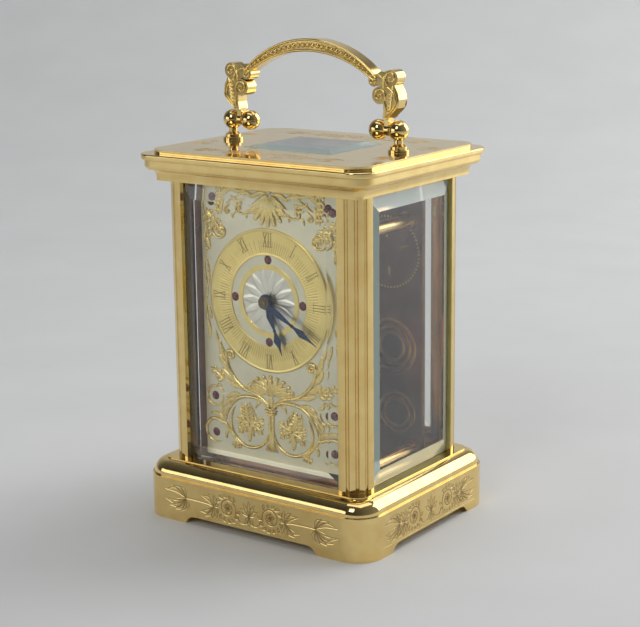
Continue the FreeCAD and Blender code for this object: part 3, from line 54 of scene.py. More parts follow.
# ------------------------------------------------------------------ materials
class Look:
    """A material being built: add() makes a node whose inputs are values or other sockets."""

    def __init__(self, name):
        self.material = bpy.data.materials.new(name)
        self.material.use_nodes = True
        self.tree = self.material.node_tree
        self.tree.nodes.clear()
        self.output = self.add("OutputMaterial")

    def add(self, kind, inputs=None, **settings):
        node = self.tree.nodes.new("ShaderNode" + kind)
        for key, value in settings.items():
            setattr(node, key, value)
        for key, value in (inputs or {}).items():
            if isinstance(value, bpy.types.NodeSocket):
                self.tree.links.new(value, node.inputs[key])
            else:
                node.inputs[key].default_value = value
        return node

    def place(self, stretch):
        where = self.add("TexCoord").outputs["Object"]
        return self.add("Mapping", {"Vector": where, "Scale": stretch}).outputs[0]

    def noise(self, size_mm, detail, stretch=(1, 1, 1), rough=0.5):
        """Noise whose features are about size_mm across, from 0 to 1."""
        scale = 1 / (size_mm * MM)
        return self.add("TexNoise", {"Vector": self.place(stretch), "Scale": scale,
                                     "Detail": detail, "Roughness": rough}).outputs[0]

    def spread(self, value, low, high, start=0.3, end=0.7):
        """The value's range from start to end, mapped to low to high."""
        return self.add("MapRange", {"Value": value, 1: start, 2: end, 3: low, 4: high}).outputs[0]

    def mix(self, factor, first, second):
        return self.add("Mix", {0: factor, 6: first, 7: second}, data_type="RGBA").outputs[2]

    def math(self, operation, first, second=0.0):
        return self.add("Math", {0: first, 1: second}, operation=operation).outputs[0]

    def attribute(self, name):
        return self.add("Attribute", attribute_name=name).outputs["Fac"]

    def bump(self, height, depth_mm, normal=None):
        inputs = {"Height": height, "Distance": depth_mm * MM, "Strength": 1.0}
        if normal is not None:
            inputs["Normal"] = normal
        return self.add("Bump", inputs).outputs[0]

    def finish(self, shader):
        self.tree.links.new(shader.outputs[0], self.output.inputs["Surface"])
        return self.material


def rgb(red, green, blue):
    """Linear colour from sRGB numbers of 0 to 255."""
    def linear(value):
        value /= 255
        return value / 12.92 if value <= 0.04045 else ((value + 0.055) / 1.055) ** 2.4
    return (linear(red), linear(green), linear(blue), 1.0)


RECESS_ROUGHNESS = 0.35  # added to the roughness of the low places
CORNER_REACH = 1.6       # how far the walls of an inner corner are felt by the painted corner shade
WIPE_DEPTH = 0.0008
GLASS_SMEAR = 0.008      # the most roughness that a glass has
GLASS_IOR = 1.5


def metal(name, light, dark, rough, patch=6.0, edge=0.0, recess_shade=None, painted_corner_shade=None):
    """Metal with patches of tone and polish, fine wiping marks, eased edges, and, when given their
    colours, painted shade in its low places and narrow inner corners.

    light and dark are its two tones, rough its range of roughness, patch the size of the
    patches and edge the rounding of sharp edges. The last two are colours of painted shade:
    for low places, by the mesh's crest attribute, and for narrow inner corners."""
    look = Look(name)
    tone = look.spread(look.noise(patch, 4), 0, 1)
    colour = look.mix(tone, dark, light)
    polish = look.spread(look.noise(patch * 0.6, 5, rough=0.65), rough[0], rough[1])
    if recess_shade is not None:
        # painted shade: the low places, found by the crest attribute, take the darker recess colour
        low = look.spread(look.attribute("crest"), 1, 0, 0.0, 0.55)
        colour = look.mix(low, colour, recess_shade)
        polish = look.math("ADD", polish, look.math("MULTIPLY", low, RECESS_ROUGHNESS))
    if painted_corner_shade is not None:
        # painted shade: ambient occlusion darkens the colour in narrow inner corners
        open_share = look.add("AmbientOcclusion", {"Distance": CORNER_REACH * MM}, samples=6,
                              only_local=True).outputs["AO"]
        colour = look.mix(look.spread(open_share, 1, 0, 0.25, 0.7), colour, painted_corner_shade)
    normal = look.add("Bevel", {"Radius": edge * MM}, samples=4).outputs[0] if edge else None
    wipe = look.noise(1.2, 4, (1, 1, 0.15), 0.6)
    shader = look.add("BsdfPrincipled", {
        "Base Color": colour, "Metallic": 1.0, "Roughness": polish,
        "Normal": look.bump(wipe, WIPE_DEPTH, normal)})
    return look.finish(shader)


def clear_glass(name, tint, painted_sheen_share):
    """Bevelled glass: it bends what is seen through it, and lets the lamps' light through.

    Its sloping bevels carry a painted greenish sheen, which stands in for the light that real glass
    carries inside its bevels. The last argument is that painted sheen's share."""
    look = Look(name)
    smear = look.spread(look.noise(9.0, 4), 0.0, GLASS_SMEAR, 0.45, 0.8)
    shader = look.add("BsdfPrincipled", {
        "Base Color": tint, "Roughness": smear, "Transmission Weight": 1.0, "IOR": GLASS_IOR})
    # painted sheen: an opaque pale green surface that the bevels show in place of the light inside
    # real glass
    ground = look.add("BsdfPrincipled", {
        "Base Color": (0.76, 0.94, 0.88, 1), "Roughness": 0.2, "IOR": GLASS_IOR,
        "Coat Weight": 0.4})
    facing = look.add("SeparateXYZ", {0: look.add("TexCoord").outputs["Normal"]}).outputs
    squares = [look.math("ABSOLUTE", axis) for axis in facing]
    square = look.math("MAXIMUM", look.math("MAXIMUM", squares[0], squares[1]), squares[2])
    bevel = look.spread(square, painted_sheen_share, 0.0, 0.990, 0.998)
    body = look.add("MixShader", {0: bevel, 1: shader.outputs[0], 2: ground.outputs[0]})
    pass_light = look.add("BsdfTransparent", {"Color": tint})
    shadow = look.add("LightPath").outputs["Is Shadow Ray"]
    both = look.add("MixShader", {0: shadow, 1: body.outputs[0], 2: pass_light.outputs[0]})
    return look.finish(both)


GOLD, GOLD_DEEP = (0.93, 0.72, 0.315, 1), (0.85, 0.61, 0.24, 1)
RING_GOLD, RING_GOLD_DEEP = (0.98, 0.80, 0.31, 1), (0.92, 0.73, 0.26, 1)
# gilt has painted shade, dark brown, in its narrow inner corners
gilt = metal("gilt_polished", GOLD, GOLD_DEEP, (0.05, 0.13), edge=0.18,
             painted_corner_shade=(0.20, 0.11, 0.03, 1))
# painted shade: where a material below is given a recess colour, its low places are darkened to
# that colour
gilt_engraved = metal("gilt_engraved", GOLD, GOLD_DEEP, (0.10, 0.18),
                      recess_shade=(0.17, 0.10, 0.04, 1))
gilt_scroll = metal("gilt_scrollwork", (0.97, 0.76, 0.30, 1), (0.86, 0.62, 0.20, 1),
                    (0.12, 0.22), patch=3.0, recess_shade=(0.40, 0.25, 0.07, 1))
dial_relief_gilt = metal("dial_relief_gilt", (0.98, 0.80, 0.34, 1), (0.90, 0.68, 0.24, 1),
                         (0.22, 0.32), patch=3.0, recess_shade=(0.42, 0.29, 0.08, 1))
ring_gilt = metal("chapter_gilt", RING_GOLD, RING_GOLD_DEEP, (0.32, 0.40), patch=5.0,
                  recess_shade=(0.52, 0.36, 0.12, 1))
ring_plain = metal("inner_ring_gilt", RING_GOLD, RING_GOLD_DEEP, (0.28, 0.36), patch=5.0)
silver = metal("dial_silver", (0.87, 0.83, 0.63, 1), (0.79, 0.75, 0.56, 1), (0.34, 0.42),
               patch=9.0)
silver_bright = metal("rosette_silver", (0.88, 0.86, 0.76, 1), (0.80, 0.78, 0.68, 1),
                      (0.30, 0.38), patch=3.0, recess_shade=(0.52, 0.50, 0.40, 1))
works_brass = metal("movement_brass", (0.84, 0.58, 0.26, 1), (0.72, 0.44, 0.18, 1),
                    (0.10, 0.20), edge=0.1)
# painted reflection: a copper tone standing in for the copper reflections seen inside the case
works_painted_copper = metal("movement_painted_copper_reflection", (0.86, 0.48, 0.28, 1), (0.66, 0.32, 0.16, 1),
                   (0.22, 0.36), edge=0.1)
# painted shade: the plates are a darker brown than the movement's brass, for the dim inside of the
# case
works_painted_shade = metal("movement_plates", (0.46, 0.28, 0.18, 1), (0.24, 0.14, 0.11, 1),
                   (0.26, 0.40), patch=14.0, edge=0.1)
works_silver = metal("platform_silver", (0.86, 0.86, 0.85, 1), (0.76, 0.76, 0.76, 1),
                     (0.25, 0.35), edge=0.1)
steel = metal("polished_steel", (0.56, 0.56, 0.57, 1), (0.42, 0.42, 0.44, 1), (0.12, 0.25),
              edge=0.08)
blued = metal("blued_steel", (0.030, 0.065, 0.15, 1), (0.012, 0.025, 0.07, 1), (0.16, 0.3),
              edge=0.06)
bronze = metal("dark_bronze", (0.20, 0.17, 0.10, 1), (0.10, 0.08, 0.05, 1), (0.12, 0.2),
               edge=0.1)
# painted sheen: the front glass takes little of it, the side and top glasses much more
glass = clear_glass("bevelled_glass", (0.98, 0.99, 0.98, 1), 0.05)
side_glass = clear_glass("bevelled_side_glass", (0.97, 0.99, 0.98, 1), 0.55)


def ruby_look():
    look = Look("ruby")
    depth = look.spread(look.noise(1.2, 3), 0, 1)
    colour = look.mix(depth, (0.045, 0.002, 0.010, 1), (0.20, 0.005, 0.025, 1))
    shader = look.add("BsdfPrincipled", {
        "Base Color": colour, "Roughness": look.spread(look.noise(2.0, 2), 0.05, 0.12),
        "IOR": GLASS_IOR, "Coat Weight": 0.25, "Coat Roughness": 0.05})
    return look.finish(shader)


ruby = ruby_look()

LOOK_OF = {
    glass: "front_glass door_glass",
    side_glass: "left_glass right_glass top_glass",
    gilt: "base_plinth column_front_left column_front_right column_back_left column_back_right "
          "cornice top_plate handle_post_left handle_post_right handle_pivot_screws handle_bow "
          "handle_post_nuts door_frame door_hinge_pins door_knob",
    works_brass: "movement_pillars barrel_cap click intermediate_wheel centre_wheel third_wheel "
                 "contrate_wheel cannon_pinion minute_wheel hour_wheel",
    works_painted_copper: "mainspring_barrel balance_wheel escape_wheel",
    works_painted_shade: "base_floor_plate front_plate back_plate",
    works_silver: "platform_plate escape_cock balance_cock",
    steel: "case_screws floor_screws pillar_screws mainspring barrel_arbor ratchet_wheel "
           "click_spring platform_screws pallet_lever",
    blued: "hour_hand minute_hand hairspring",
    bronze: "hand_collet",
    silver: "dial_plate jewel_ring",
    ring_plain: "gilt_ring",
    ruby: "ruby_cabochons",
}


def dress(thing, material):
    thing.data.materials.clear()
    thing.data.materials.append(material)


for material, names in LOOK_OF.items():
    for name in names.split():
        dress(NODES[name], material)


# ------------------------------------------------------------------ ornament drawing
# A stroke is (points, width, height, ends, kind): a plane curve with the width at its middle,
# its relief, how wide its two ends are compared with its middle, and the name of its section.
SINK = 0.03  # how far the foot of a raised ornament goes into its ground
BEAD_RINGS, BEAD_SIDES = 4, 10


def smooth(points, steps):
    """Catmull-Rom curve through the points."""
    points = np.array(points, float)
    padded = np.vstack([2 * points[0] - points[1], points, 2 * points[-1] - points[-2]])
    t = np.linspace(0, 1, steps, endpoint=False)[:, None]
    runs = []
    for a, b, c, d in zip(padded, padded[1:], padded[2:], padded[3:]):
        runs.append(0.5 * (2 * b + (c - a) * t + (2 * a - 5 * b + 4 * c - d) * t ** 2
                           + (3 * b - a - 3 * c + d) * t ** 3))
    return np.vstack(runs + [points[-1:]])


def arc(centre, radius, start, end, steps):
    """Points on a circle or, with two radii, on a spiral; the angles are in degrees."""
    first, last = radius if isinstance(radius, tuple) else (radius, radius)
    t = np.linspace(0, 1, steps + 1)
    angle = np.radians(start + (end - start) * t)
    reach = first + (last - first) * t
    return np.column_stack([centre[0] + reach * np.cos(angle),
                            centre[1] + reach * np.sin(angle)])


def stroke(points, width, height, ends=(0.3, 0.3), kind="round"):
    return (np.array(points, float), width, height, ends, kind)


def leaf(root, tip, width, bend, height=0.5):
    """A pointed leaf from its root to its tip, bent to one side by a share of its length."""
    root, tip = np.array(root, float), np.array(tip, float)
    along = tip - root
    side = np.array([-along[1], along[0]])
    middle = (root + tip) / 2 + side * bend
    return stroke(smooth([root, middle, tip], 6), width, height, (0.3, 0.02), "leaf")


def acanthus(root, tip, width, lobes, bend):
    """A rib from root to tip, with pairs of lobes that curl forward."""
    height = 0.55
    root, tip = np.array(root, float), np.array(tip, float)
    along = tip - root
    length = np.linalg.norm(along)
    ahead = along / length
    side = np.array([-ahead[1], ahead[0]])
    rib = smooth([root, (root + tip) / 2 + side * bend * length, tip], 6)
    strokes = [stroke(rib, width * 0.34, height, (0.9, 0.05))]
    for index in range(lobes):
        share = (index + 0.35) / (lobes + 0.25)
        start = rib[int(share * (len(rib) - 1))]
        reach = width * 0.62 * (1 - 0.55 * share)
        for hand in (-1, 1):
            end = start + side * hand * reach + ahead * reach * 0.95
            knee = start + side * hand * reach * 0.75 + ahead * reach * 0.25
            strokes.append(stroke(smooth([start, knee, end], 4), length / lobes * 0.62,
                                  height * 0.85, (0.5, 0.12)))
    return strokes


def volute(centre, radius, start, turns, width, height=0.5, lead=None):
    """A scroll that winds in to its eye from an angle, with an optional run up to it."""
    inner, eye_radius, eye_width = radius * 0.22, radius * 0.16, radius * 0.34
    steps_a_turn = 22
    coil = arc(centre, (radius, inner), start, start + 360 * turns,
               int(abs(turns) * steps_a_turn) + 4)
    points = coil if lead is None else np.vstack([smooth(lead + [tuple(coil[0])], 6)[:-1], coil])
    eye = arc(centre, eye_radius, 0, 300, 7)
    return [stroke(points, width, height, (0.35, 0.42)), stroke(eye, eye_width, height)]


def mirrored(strokes):
    """The strokes and their mirror images about the axis u = 0."""
    flip = np.array([-1, 1])
    return strokes + [(points * flip, *rest) for points, *rest in strokes]


def moved(strokes, shift, scale, turn=0.0, flip=False):
    """The strokes mirrored if flip is set, turned by degrees, scaled and then shifted."""
    spin = math.radians(turn)
    matrix = np.array([[math.cos(spin), math.sin(spin)], [-math.sin(spin), math.cos(spin)]])
    matrix = matrix * scale
    hand = np.array([-1 if flip else 1, 1])
    return [((points * hand) @ matrix + np.array(shift), width * scale, height, ends, kind)
            for points, width, height, ends, kind in strokes]


SECTIONS = {  # across a stroke: offset as a share of the half width, height as a share
    "round": ((-1, 0), (-0.86, 0.5), (-0.5, 0.87), (0, 1), (0.5, 0.87), (0.86, 0.5), (1, 0)),
    "leaf": ((-1, 0), (-0.8, 0.62), (-0.42, 0.95), (0, 0.42), (0.42, 0.95), (0.8, 0.62), (1, 0)),
    "flat": ((-1, 0), (-0.82, 0.9), (-0.4, 1), (0, 1), (0.4, 1), (0.82, 0.9), (1, 0)),
}


def stroke_widths(points, width, ends):
    run = np.r_[0, np.cumsum(np.linalg.norm(np.diff(points, axis=0), axis=1))]
    share = run / run[-1]
    swell = np.sin(np.pi * np.clip(share, 0, 1))
    lean = ends[0] + (ends[1] - ends[0]) * share
    return width * (lean + (1 - lean) * np.sqrt(swell))


def ridges(strokes, sink=SINK):
    """Vertices (u, v, h), faces and the crest share of every stroke's raised ridge."""
    vertices, faces, crests = [], [], []
    for points, width, height, ends, kind in strokes:
        section = np.array(SECTIONS[kind])
        widths = stroke_widths(points, width, ends)
        ahead = np.gradient(points, axis=0)
        ahead /= np.maximum(np.linalg.norm(ahead, axis=1, keepdims=True), 1e-9)
        side = np.column_stack([ahead[:, 1], -ahead[:, 0]])
        rise = height * np.sqrt(np.clip(widths / width, 0.02, 1))
        base = len(vertices)
        for point, across, wide, tall in zip(points, side, widths, rise):
            for offset, share in section:
                spot = point + across * offset * wide / 2
                vertices.append((spot[0], spot[1], share * tall - sink))
                crests.append(share)
        count = len(section)
        for row in range(len(points) - 1):
            for column in range(count - 1):
                a = base + row * count + column
                faces.append((a, a + 1, a + count + 1, a + count))
    return vertices, faces, crests


def beads(spots, radius, height):
    """Half-round beads on the plane."""
    vertices, faces, crests = [], [], []
    for u, v in spots:
        base = len(vertices)
        for ring in range(BEAD_RINGS):
            lift = math.pi / 2 * ring / BEAD_RINGS
            for step in range(BEAD_SIDES):
                angle = TURN * step / BEAD_SIDES
                vertices.append((u + radius * math.cos(lift) * math.cos(angle),
                                 v + radius * math.cos(lift) * math.sin(angle),
                                 height * math.sin(lift) - SINK))
                crests.append(0.25 + 0.75 * math.sin(lift))
        vertices.append((u, v, height - SINK))
        crests.append(1.0)
        for ring in range(BEAD_RINGS):
            for step in range(BEAD_SIDES):
                a = base + ring * BEAD_SIDES + step
                b = base + ring * BEAD_SIDES + (step + 1) % BEAD_SIDES
                if ring < BEAD_RINGS - 1:
                    faces.append((a, b, b + BEAD_SIDES, a + BEAD_SIDES))
                else:
                    faces.append((a, b, base + BEAD_RINGS * BEAD_SIDES))
    return vertices, faces, crests


def join(*parts):
    """Several (vertices, faces, crests) as one."""
    vertices, faces, crests = [], [], []
    for some, more, tops in parts:
        base = len(vertices)
        vertices += list(some)
        faces += [tuple(index + base for index in face) for face in more]
        crests += list(tops)
    return vertices, faces, crests


def plane(kind, level):
    """How (u, v, h) lies in space: on the front, back, left, right or top at a level."""
    ways = {
        "front": lambda u, v, h: (u, level - h, v),
        "back": lambda u, v, h: (-u, level + h, v),
        "left": lambda u, v, h: (level - h, -u, v),
        "right": lambda u, v, h: (level + h, u, v),
        "top": lambda u, v, h: (u, v, level + h),
    }
    return ways[kind]


def piece(name, geometry, where, body, material):
    """A mesh piece from (vertices, faces, crests) in millimetres, riding on a body."""
    vertices, faces, crests = geometry
    mesh = bpy.data.meshes.new(name)
    spots = [where(*vertex) for vertex in vertices]
    mesh.from_pydata([(x * MM, y * MM, z * MM) for x, y, z in spots], [], faces)
    mesh.update()
    # the crest share is low in hollows and at the feet of reliefs, and it drives the painted shade
    # of low places
    attribute = mesh.attributes.new("crest", "FLOAT", "POINT")
    attribute.data.foreach_set("value", np.array(crests, np.float32))
    mesh.polygons.foreach_set("use_smooth", [True] * len(mesh.polygons))
    thing = bpy.data.objects.new(name, mesh)
    bpy.context.scene.collection.objects.link(thing)
    dress(thing, material)
    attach(thing, body)
    return thing


# ------------------------------------------------------------------ dial
DIAL_FACE, RING_FACE = -25.2, -25.7
CENTRE_Z = (box_mm("chapter_ring")[0][2] + box_mm("chapter_ring")[1][2]) / 2


def wreath():
    """One of the two scroll wreaths at the foot of the dial, with its flower: the right one."""
    middle = (9.1, 35.8)
    strokes = [
        stroke(np.vstack([smooth([(0.9, 40.6), (0.7, 36.5)], 4)[:-1],
                          arc(middle, 8.4, 178, 400, 26)]), 1.25, 0.7, (0.6, 0.35)),
        stroke(smooth([(0.9, 43.2), (4.2, 45.2), (9.3, 45.6), (13.6, 44.6), (17.2, 41.6),
                       (19.3, 38.0), (19.7, 35.6)], 7), 1.35, 0.7, (0.7, 0.15)),
        leaf((12.6, 45.6), (19.6, 43.6), 1.7, 0.12),
        leaf((15.4, 44.0), (21.2, 40.0), 1.5, 0.1),
        leaf((17.4, 41.4), (21.0, 36.4), 1.3, 0.1),
        leaf((3.8, 44.4), (6.6, 41.8), 1.1, 0.2),
    ]
    strokes += acanthus((9.2, 36.4), (10.8, 43.2), 5.6, 5, -0.06)
    strokes += acanthus((8.8, 36.2), (2.9, 38.6), 3.4, 3, 0.1)
    strokes += acanthus((8.8, 35.8), (3.4, 32.6), 3.2, 3, -0.1)
    strokes += acanthus((9.6, 36.0), (15.3, 37.4), 3.4, 3, -0.08)
    strokes += acanthus((9.4, 35.6), (14.4, 31.6), 3.2, 3, 0.1)
    strokes.append(leaf((9.2, 35.4), (9.4, 29.2), 1.9, 0.04, 0.6))
    strokes.append(leaf((8.6, 35.0), (7.2, 31.4), 1.0, 0.1))
    return strokes


def swags():
    """The S-scroll that sweeps up past the chapter ring, and the loops round the rubies."""
    strokes = volute((17.1, 59.3), 1.9, 5, 1.25, 0.85, 0.65,
                     [(0.9, 43.9), (5.4, 46.6), (11.2, 48.2), (15.6, 51.4), (18.2, 55.4)])
    strokes[0] = (strokes[0][0], 1.5, 0.75, (0.6, 0.35), "round")
    strokes += [
        leaf((7.6, 47.4), (14.6, 49.8), 1.5, -0.08), leaf((11.4, 48.6), (19.4, 50.4), 1.9, -0.1),
        leaf((15.0, 50.8), (21.3, 54.4), 2.1, -0.12), leaf((17.6, 54.0), (22.0, 59.4), 2.2, -0.12),
        leaf((19.0, 57.2), (21.8, 64.6), 2.0, -0.1), leaf((19.4, 60.0), (23.6, 68.0), 1.4, -0.1),
    ]
    strokes += acanthus((20.4, 50.0), (26.2, 54.0), 3.0, 3, 0.05)
    loop = np.vstack([smooth([(21.6, 47.6), (23.2, 48.4)], 4)[:-1],
                      arc((24.2, 43.8), 3.5, 100, -190, 20)])
    strokes.append(stroke(loop, 1.05, 0.65, (0.5, 0.2)))
    strokes.append(leaf((21.6, 41.0), (20.4, 37.0), 1.3, 0.15))
    strokes.append(leaf((22.4, 47.2), (19.8, 46.0), 1.2, 0.2))
    loop = np.vstack([smooth([(10.6, 27.4), (14.6, 28.6), (17.6, 31.6), (20.4, 35.0)], 7)[:-1],
                      arc((24.2, 31.2), 4.3, 128, -120, 20)])
    strokes.append(stroke(loop, 1.35, 0.7, (0.35, 0.25)))
    strokes += acanthus((13.2, 28.2), (17.6, 26.8), 2.6, 3, -0.05)
    strokes.append(leaf((20.0, 35.2), (26.6, 37.4), 1.5, 0.14))
    strokes.append(leaf((18.0, 32.6), (19.6, 28.8), 1.2, 0.2))
    return strokes


def side_garland():
    """The slender garland down one side of the dial."""
    strokes = [
        stroke(smooth([(27.2, 107.6), (26.6, 103.6), (27.5, 99.4), (26.4, 95.6)], 6), 1.0, 0.5),
        stroke(smooth([(26.4, 95.0), (27.6, 91.0), (27.2, 86.4), (26.2, 82.4)], 6), 0.8, 0.5),
        stroke(smooth([(26.2, 92.0), (25.6, 87.4), (26.5, 82.0), (27.2, 76.4)], 6), 0.8, 0.5),
        stroke(smooth([(26.2, 81.0), (27.4, 76.4), (26.6, 71.0), (27.2, 66.4)], 6), 0.9, 0.5),
        leaf((26.8, 100.0), (25.0, 95.6), 1.3, -0.12), leaf((26.6, 76.0), (25.2, 71.0), 1.2, -0.1),
        leaf((27.0, 72.0), (26.0, 63.6), 1.5, -0.06), leaf((26.6, 88.0), (25.4, 84.4), 0.9, -0.1),
    ]
    return strokes


def top_foliage():
    """Half of the foliage along the top, with the loop beside the corner."""
    strokes = volute((12.1, 111.0), 1.5, 250, 1.2, 0.8, 0.65,
                     [(1.6, 114.2), (4.6, 112.2), (7.6, 110.2), (10.4, 109.4)])
    strokes += volute((17.2, 109.8), 1.3, 80, -1.2, 0.75, 0.6, [(12.6, 114.2), (15.6, 112.6)])
    strokes += [
        leaf((1.4, 115.6), (8.2, 113.4), 1.6, 0.1), leaf((2.4, 116.4), (9.6, 115.8), 1.4, 0.1),
        leaf((5.0, 112.6), (5.6, 109.8), 1.1, 0.2), leaf((6.8, 114.4), (13.4, 114.2), 1.5, 0.12),
        leaf((9.0, 116.6), (15.8, 115.8), 1.3, -0.1), leaf((10.6, 112.6), (16.2, 113.8), 1.3, -0.2),
        leaf((14.0, 116.4), (19.6, 113.4), 1.6, 0.14),
        leaf((17.4, 116.6), (20.8, 111.4), 1.4, 0.12),
        leaf((19.0, 112.6), (19.8, 108.2), 1.3, 0.1), leaf((7.6, 110.4), (8.8, 107.8), 0.9, 0.2),
        leaf((13.4, 109.8), (15.0, 107.4), 0.9, 0.2),
    ]
    strokes += acanthus((20.6, 116.4), (21.2, 107.8), 2.8, 4, 0.04)
    strokes += volute((20.4, 103.0), 4.2, 60, -0.98, 1.05, 0.7, [(26.2, 110.2), (25.2, 108.0)])
    strokes += acanthus((22.6, 105.6), (18.6, 101.4), 3.4, 4, 0.06)
    strokes += acanthus((25.6, 109.0), (22.4, 104.8), 2.6, 3, -0.05)
    strokes += acanthus((26.4, 107.6), (24.8, 98.6), 2.4, 4, 0.03)
    strokes.append(stroke(smooth([(27.4, 116.4), (27.9, 113.0), (27.6, 109.6), (26.4, 107.6)], 6),
                          0.9, 0.5))
    return strokes


def dial_ornament():
    """All the gilt ornament of the dial, about its upright middle line."""
    strokes = mirrored(wreath() + swags() + side_garland() + top_foliage())
    for offset in (-0.42, 0.42):  # the stem, its tassel, and the tie across it
        strokes.append(stroke([(offset, 42.5), (offset, 38.0), (offset, 33.0)], 0.7, 0.6,
                              (0.8, 0.8)))
    for index in range(-4, 5):
        lean = index * 0.68
        strokes.append(stroke(smooth([(lean * 0.22, 34.6), (lean * 0.4, 30.6), (lean, 27.2)], 4),
                              0.5, 0.45, (0.5, 0.3)))
    for level, half in ((42.9, 2.0), (41.9, 2.5), (40.9, 1.9)):
        strokes.append(stroke(smooth([(-half, level + 0.2), (0, level - 0.25), (half, level + 0.2)],
                                     6), 0.95, 0.95, (0.6, 0.6)))
    strokes.append(stroke([(0, 43.4), (0, 45.4), (0, 47.4)], 2.1, 0.7, (0.6, 0.8)))
    strokes.append(stroke([(-1.5, 47.6), (0, 47.9), (1.5, 47.6)], 1.0, 0.8, (0.6, 0.6)))
    crown = [(9.8 * math.sin(a), 47.0 + 6.8 * math.cos(a))
             for a in np.radians(np.linspace(-68, 68, 9))]
    for u, v in crown:
        strokes.append(leaf((u * 0.12, 48.2), (u * 0.95, v - 0.3), 2.3, 0.0, 0.7))
    for hand in (-1, 1):
        for rise, reach in ((49.4, 10.4), (48.4, 8.2), (49.0, 6.0)):
            strokes.append(leaf((hand * 1.2, 48.4), (hand * reach, rise - 0.4), 1.2, -hand * 0.12))
    for index in range(-3, 4):  # the shell at the top
        angle = math.radians(index * 19)
        tip = (8.2 * math.sin(angle), 115.2 - 8.7 * math.cos(angle))
        hub = (1.0 * math.sin(angle), 115.6 - 1.2 * math.cos(angle))
        strokes.append(stroke(smooth([hub, ((hub[0] + tip[0]) / 2, (hub[1] + tip[1]) / 2), tip],
                                     5), 2.15, 0.85, (0.25, 0.75), "leaf"))
    strokes += mirrored([leaf((1.2, 113.4), (9.4, 110.4), 1.5, -0.16)])
    tips = [(8.35 * math.sin(a), 115.2 - 8.9 * math.cos(a))
            for a in np.radians(np.arange(-3, 4) * 19.0)]
    return join(ridges(strokes), beads(crown, 0.85, 0.85), beads(tips, 0.85, 0.55),
                beads([(0, 116.2), (-26.4, 96.0), (26.4, 96.0)], 0.9, 0.9))


piece("dial_ornament", dial_ornament(), plane("front", DIAL_FACE), "root",
      dial_relief_gilt)
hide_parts("dial_relief")


def polar(profile, around, start=0.0):
    """A surface about the dial's centre: profile(angle) gives (radius, height, crest) rows."""
    rows = [profile(start + TURN * step / around) for step in range(around)]
    depth = len(rows[0])
    vertices, crests, faces = [], [], []
    for step, row in enumerate(rows):
        angle = start + TURN * step / around
        for radius, height, crest in row:
            vertices.append((radius * math.sin(angle), CENTRE_Z + radius * math.cos(angle),
                             height))
            crests.append(crest)
        for column in range(depth - 1):
            a, b = step * depth + column, ((step + 1) % around) * depth + column
            faces.append((a, a + 1, b + 1, b))
    return vertices, faces, crests


def chapter_ring():
    """The gilt ring: turned rays, and a raised rim on each side."""
    rays, groove_share, groove_depth = 132, 0.3, 0.08
    ground, outer_rim, inner_rim = 0.5, 0.62, 0.58

    def profile(angle):
        phase = (angle * rays / TURN) % 1
        groove = 1.0 if phase < groove_share else 0.0
        cut = -groove_depth * groove
        shade = 1.0 - 0.75 * groove
        return [(24.8, 0, 0.6), (24.78, outer_rim, 1), (24.2, outer_rim, 1), (24.05, ground, 0.4),
                (23.7, ground, 1), (21.2, ground + cut * 0.4, 1 - 0.4 * groove),
                (20.4, ground + cut, shade), (16.6, ground + cut, shade), (16.4, ground, 1),
                (15.9, inner_rim, 1), (15.7, inner_rim, 1), (15.68, 0, 0.6)]
    return polar(profile, rays * 5)


def numerals():
    """Roman numerals on the ring, engraved strokes read from the centre outwards."""
    words = ["XII", "I", "II", "III", "IIII", "V", "VI", "VII", "VIII", "IX", "X", "XI"]
    width = {"I": 1.0, "V": 1.9, "X": 1.9}
    inner, outer = 18.6, 23.4
    stem_width, serif_width, serif_reach = 0.27, 0.15, 0.32
    strokes = []
    for hour, word in enumerate(words):
        angle = math.radians(30 * hour)
        total = sum(width[letter] for letter in word)
        cursor = -total / 2
        for letter in word:
            middle, half = cursor + width[letter] / 2, width[letter] * 0.36
            cursor += width[letter]
            lines = {"I": [(0, 0)], "V": [(-half, 0), (half, 0)],
                     "X": [(-half, half), (half, -half)]}
            for top, foot in lines[letter]:
                ends = []
                for across, reach in ((middle + foot, inner), (middle + top, outer)):
                    ends.append((across * math.cos(angle) + reach * math.sin(angle),
                                 CENTRE_Z - across * math.sin(angle) + reach * math.cos(angle)))
                strokes.append(stroke(np.linspace(ends[0], ends[1], 4), stem_width, 0.08,
                                      (0.9, 0.9), "flat"))
            for reach in (inner, outer):
                ends = [(across * math.cos(angle) + reach * math.sin(angle),
                         CENTRE_Z - across * math.sin(angle) + reach * math.cos(angle))
                        for across in (middle - half - serif_reach, middle + half + serif_reach)]
                strokes.append(stroke(np.linspace(ends[0], ends[1], 3), serif_width, 0.06,
                                      (0.9, 0.9), "flat"))
    return ridges(strokes, 0.01)


def rosette():
    """Silver rosette of pointed petals about the centre."""
    petals, steps = 14, 14
    inner, outer = 2.3, 10.9
    ground, rise, swell, vein_cut = 0.30, 0.12, 0.12, 0.07

    def profile(angle):
        phase = (angle * petals / TURN) % 1
        beside = abs(phase - 0.5) * 2
        rows = []
        for radius in np.linspace(inner, outer, 12):
            share = (radius - inner) / (outer - inner)
            edge = 1 - max(0.0, share - 0.45) / 0.55 * 0.95
            inside = beside < edge
            vein = 1 - beside / max(edge, 0.05)
            height = ground + (rise + swell * math.sqrt(max(0.0, vein)) if inside else 0.0)
            if inside and beside < 0.12:
                height -= vein_cut
            crest = 0.2 + 0.8 * (height - ground) / (rise + swell) if inside else 0.5
            rows.append((radius, height, crest))
        return rows
    return polar(profile, petals * steps, math.pi / petals)


